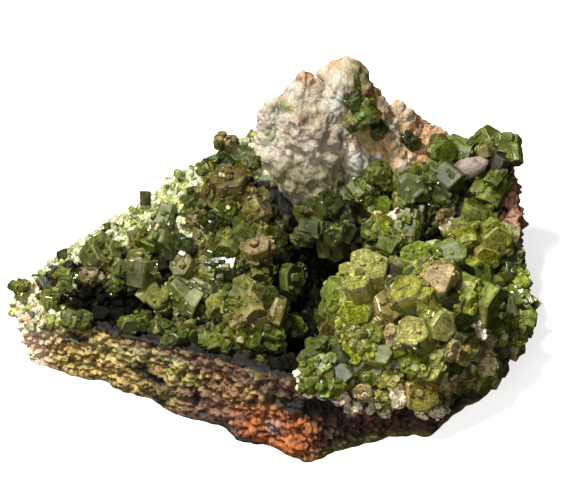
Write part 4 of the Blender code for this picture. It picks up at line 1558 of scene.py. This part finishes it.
# The left ledge: pyromorphite crystals with a row of rim clumps in front of a dark gap, and the pale fine
# crystals of the slope behind. They have grown on the rock, and are made as those of the ridge are.
draw = np.random.default_rng(13)
# The left ledge's colours are painted darker, as shade.
large, steps = grown(LEFT_CRYSTALS, draw, painted_lighting=0.76)
area = np.maximum(within(-26, 3, 9, 6), within(-16, 5, 8, 6)) * ~bare
filling, small = fill_area(area, large, draw)
sugar = np.maximum(on_slope * (plan_y > 0), plan_x < -30)
small = together(
    small,
    fill_ground(sugar, large, draw, 0.9, (0.7, 1.6), PALE_FILL, rise=-0.6, dullest=0.7, tries=6000),
    fill_ground(sugar, large, draw, 3.0, (1.0, 1.7), FILL, rise=-0.9),
)
replaced = ["left_ledge_crystals", "front_rim_crystals"]
crystal_piece("left_ledge_druse", replaced, together(large, filling), together(steps, small), draw)

# The hollow: a ball of pyromorphite crystals at its front, and darker ones on its floor and walls, with more
# on the strip in front of the knob. They have grown on the rock, round two cores painted near black as shade.
draw = np.random.default_rng(14)
large, steps = grown(MIDDLE_CRYSTALS, draw)
hollow_areas = [within(-4, -2.5, 14, 9), within(8, 7, 8, 7.5), within(6.5, -14.5, 6.5, 4.5)]
area = np.maximum.reduce(hollow_areas) * ~bare
filling, small = fill_area(area, large, draw)
hollow_balls = (2, 3)
filling = together(fill_balls(hollow_balls, large, draw, 2.4, (2.2, 3.4), FILL), filling)
large, small = together(large, filling), together(steps, small)
crystal_piece("hollow_druse", ["hollow_crystals"], large, small, draw, hollow_balls)

# The back shelf: blocky green pyromorphite crystals from the quartz to the right edge, behind the knob. They
# have grown on the rock and round the quartz pebble, and are made as those of the hollow are.
draw = np.random.default_rng(15)
large, steps = grown(BACK_CRYSTALS, draw)
area = np.maximum(within(21, 10, 9, 7), within(28, 18, 10, 5)) * ~bare
filling, small = fill_area(area, large, draw)
shelf_balls = (4, 5)
filling = together(fill_balls(shelf_balls, large, draw, 2.4, (2.2, 3.4), FILL), filling)
large, small = together(large, filling), together(steps, small)
crystal_piece("back_shelf_druse", ["back_shelf_crystals"], large, small, draw, shelf_balls)

# The right flank: a dull crust of small pyromorphite crystals that has grown on the rock down the outer side
# of the knob. They are made as the others are, in dusty green and tan.
draw = np.random.default_rng(16)
# The flank's colours are painted lighter, as the light on it.
large, steps = grown(FLANK_CRYSTALS, draw, painted_lighting=1.6)
area = np.maximum(within(34, 2, 6, 11), within(34, -8, 5, 6)) * ~bare
flank_balls = (9, 10)
filling = together(
    fill_ground(area, large, draw, 2.2, (1.8, 3.2), FLANK_FILL),
    fill_balls(flank_balls, large, draw, 2.2, (2.0, 3.2), FLANK_FILL),
)
beside = together(large, filling)
small = together(
    fill_ground(area, beside, draw, 0.9, (0.9, 1.7), FLANK_FILL),
    fill_balls(flank_balls, beside, draw, 0.9, (0.9, 1.7), FLANK_FILL),
)
small = together(steps, small)
crystal_piece("right_flank_druse", ["right_flank_crystals"], beside, small, draw, flank_balls)
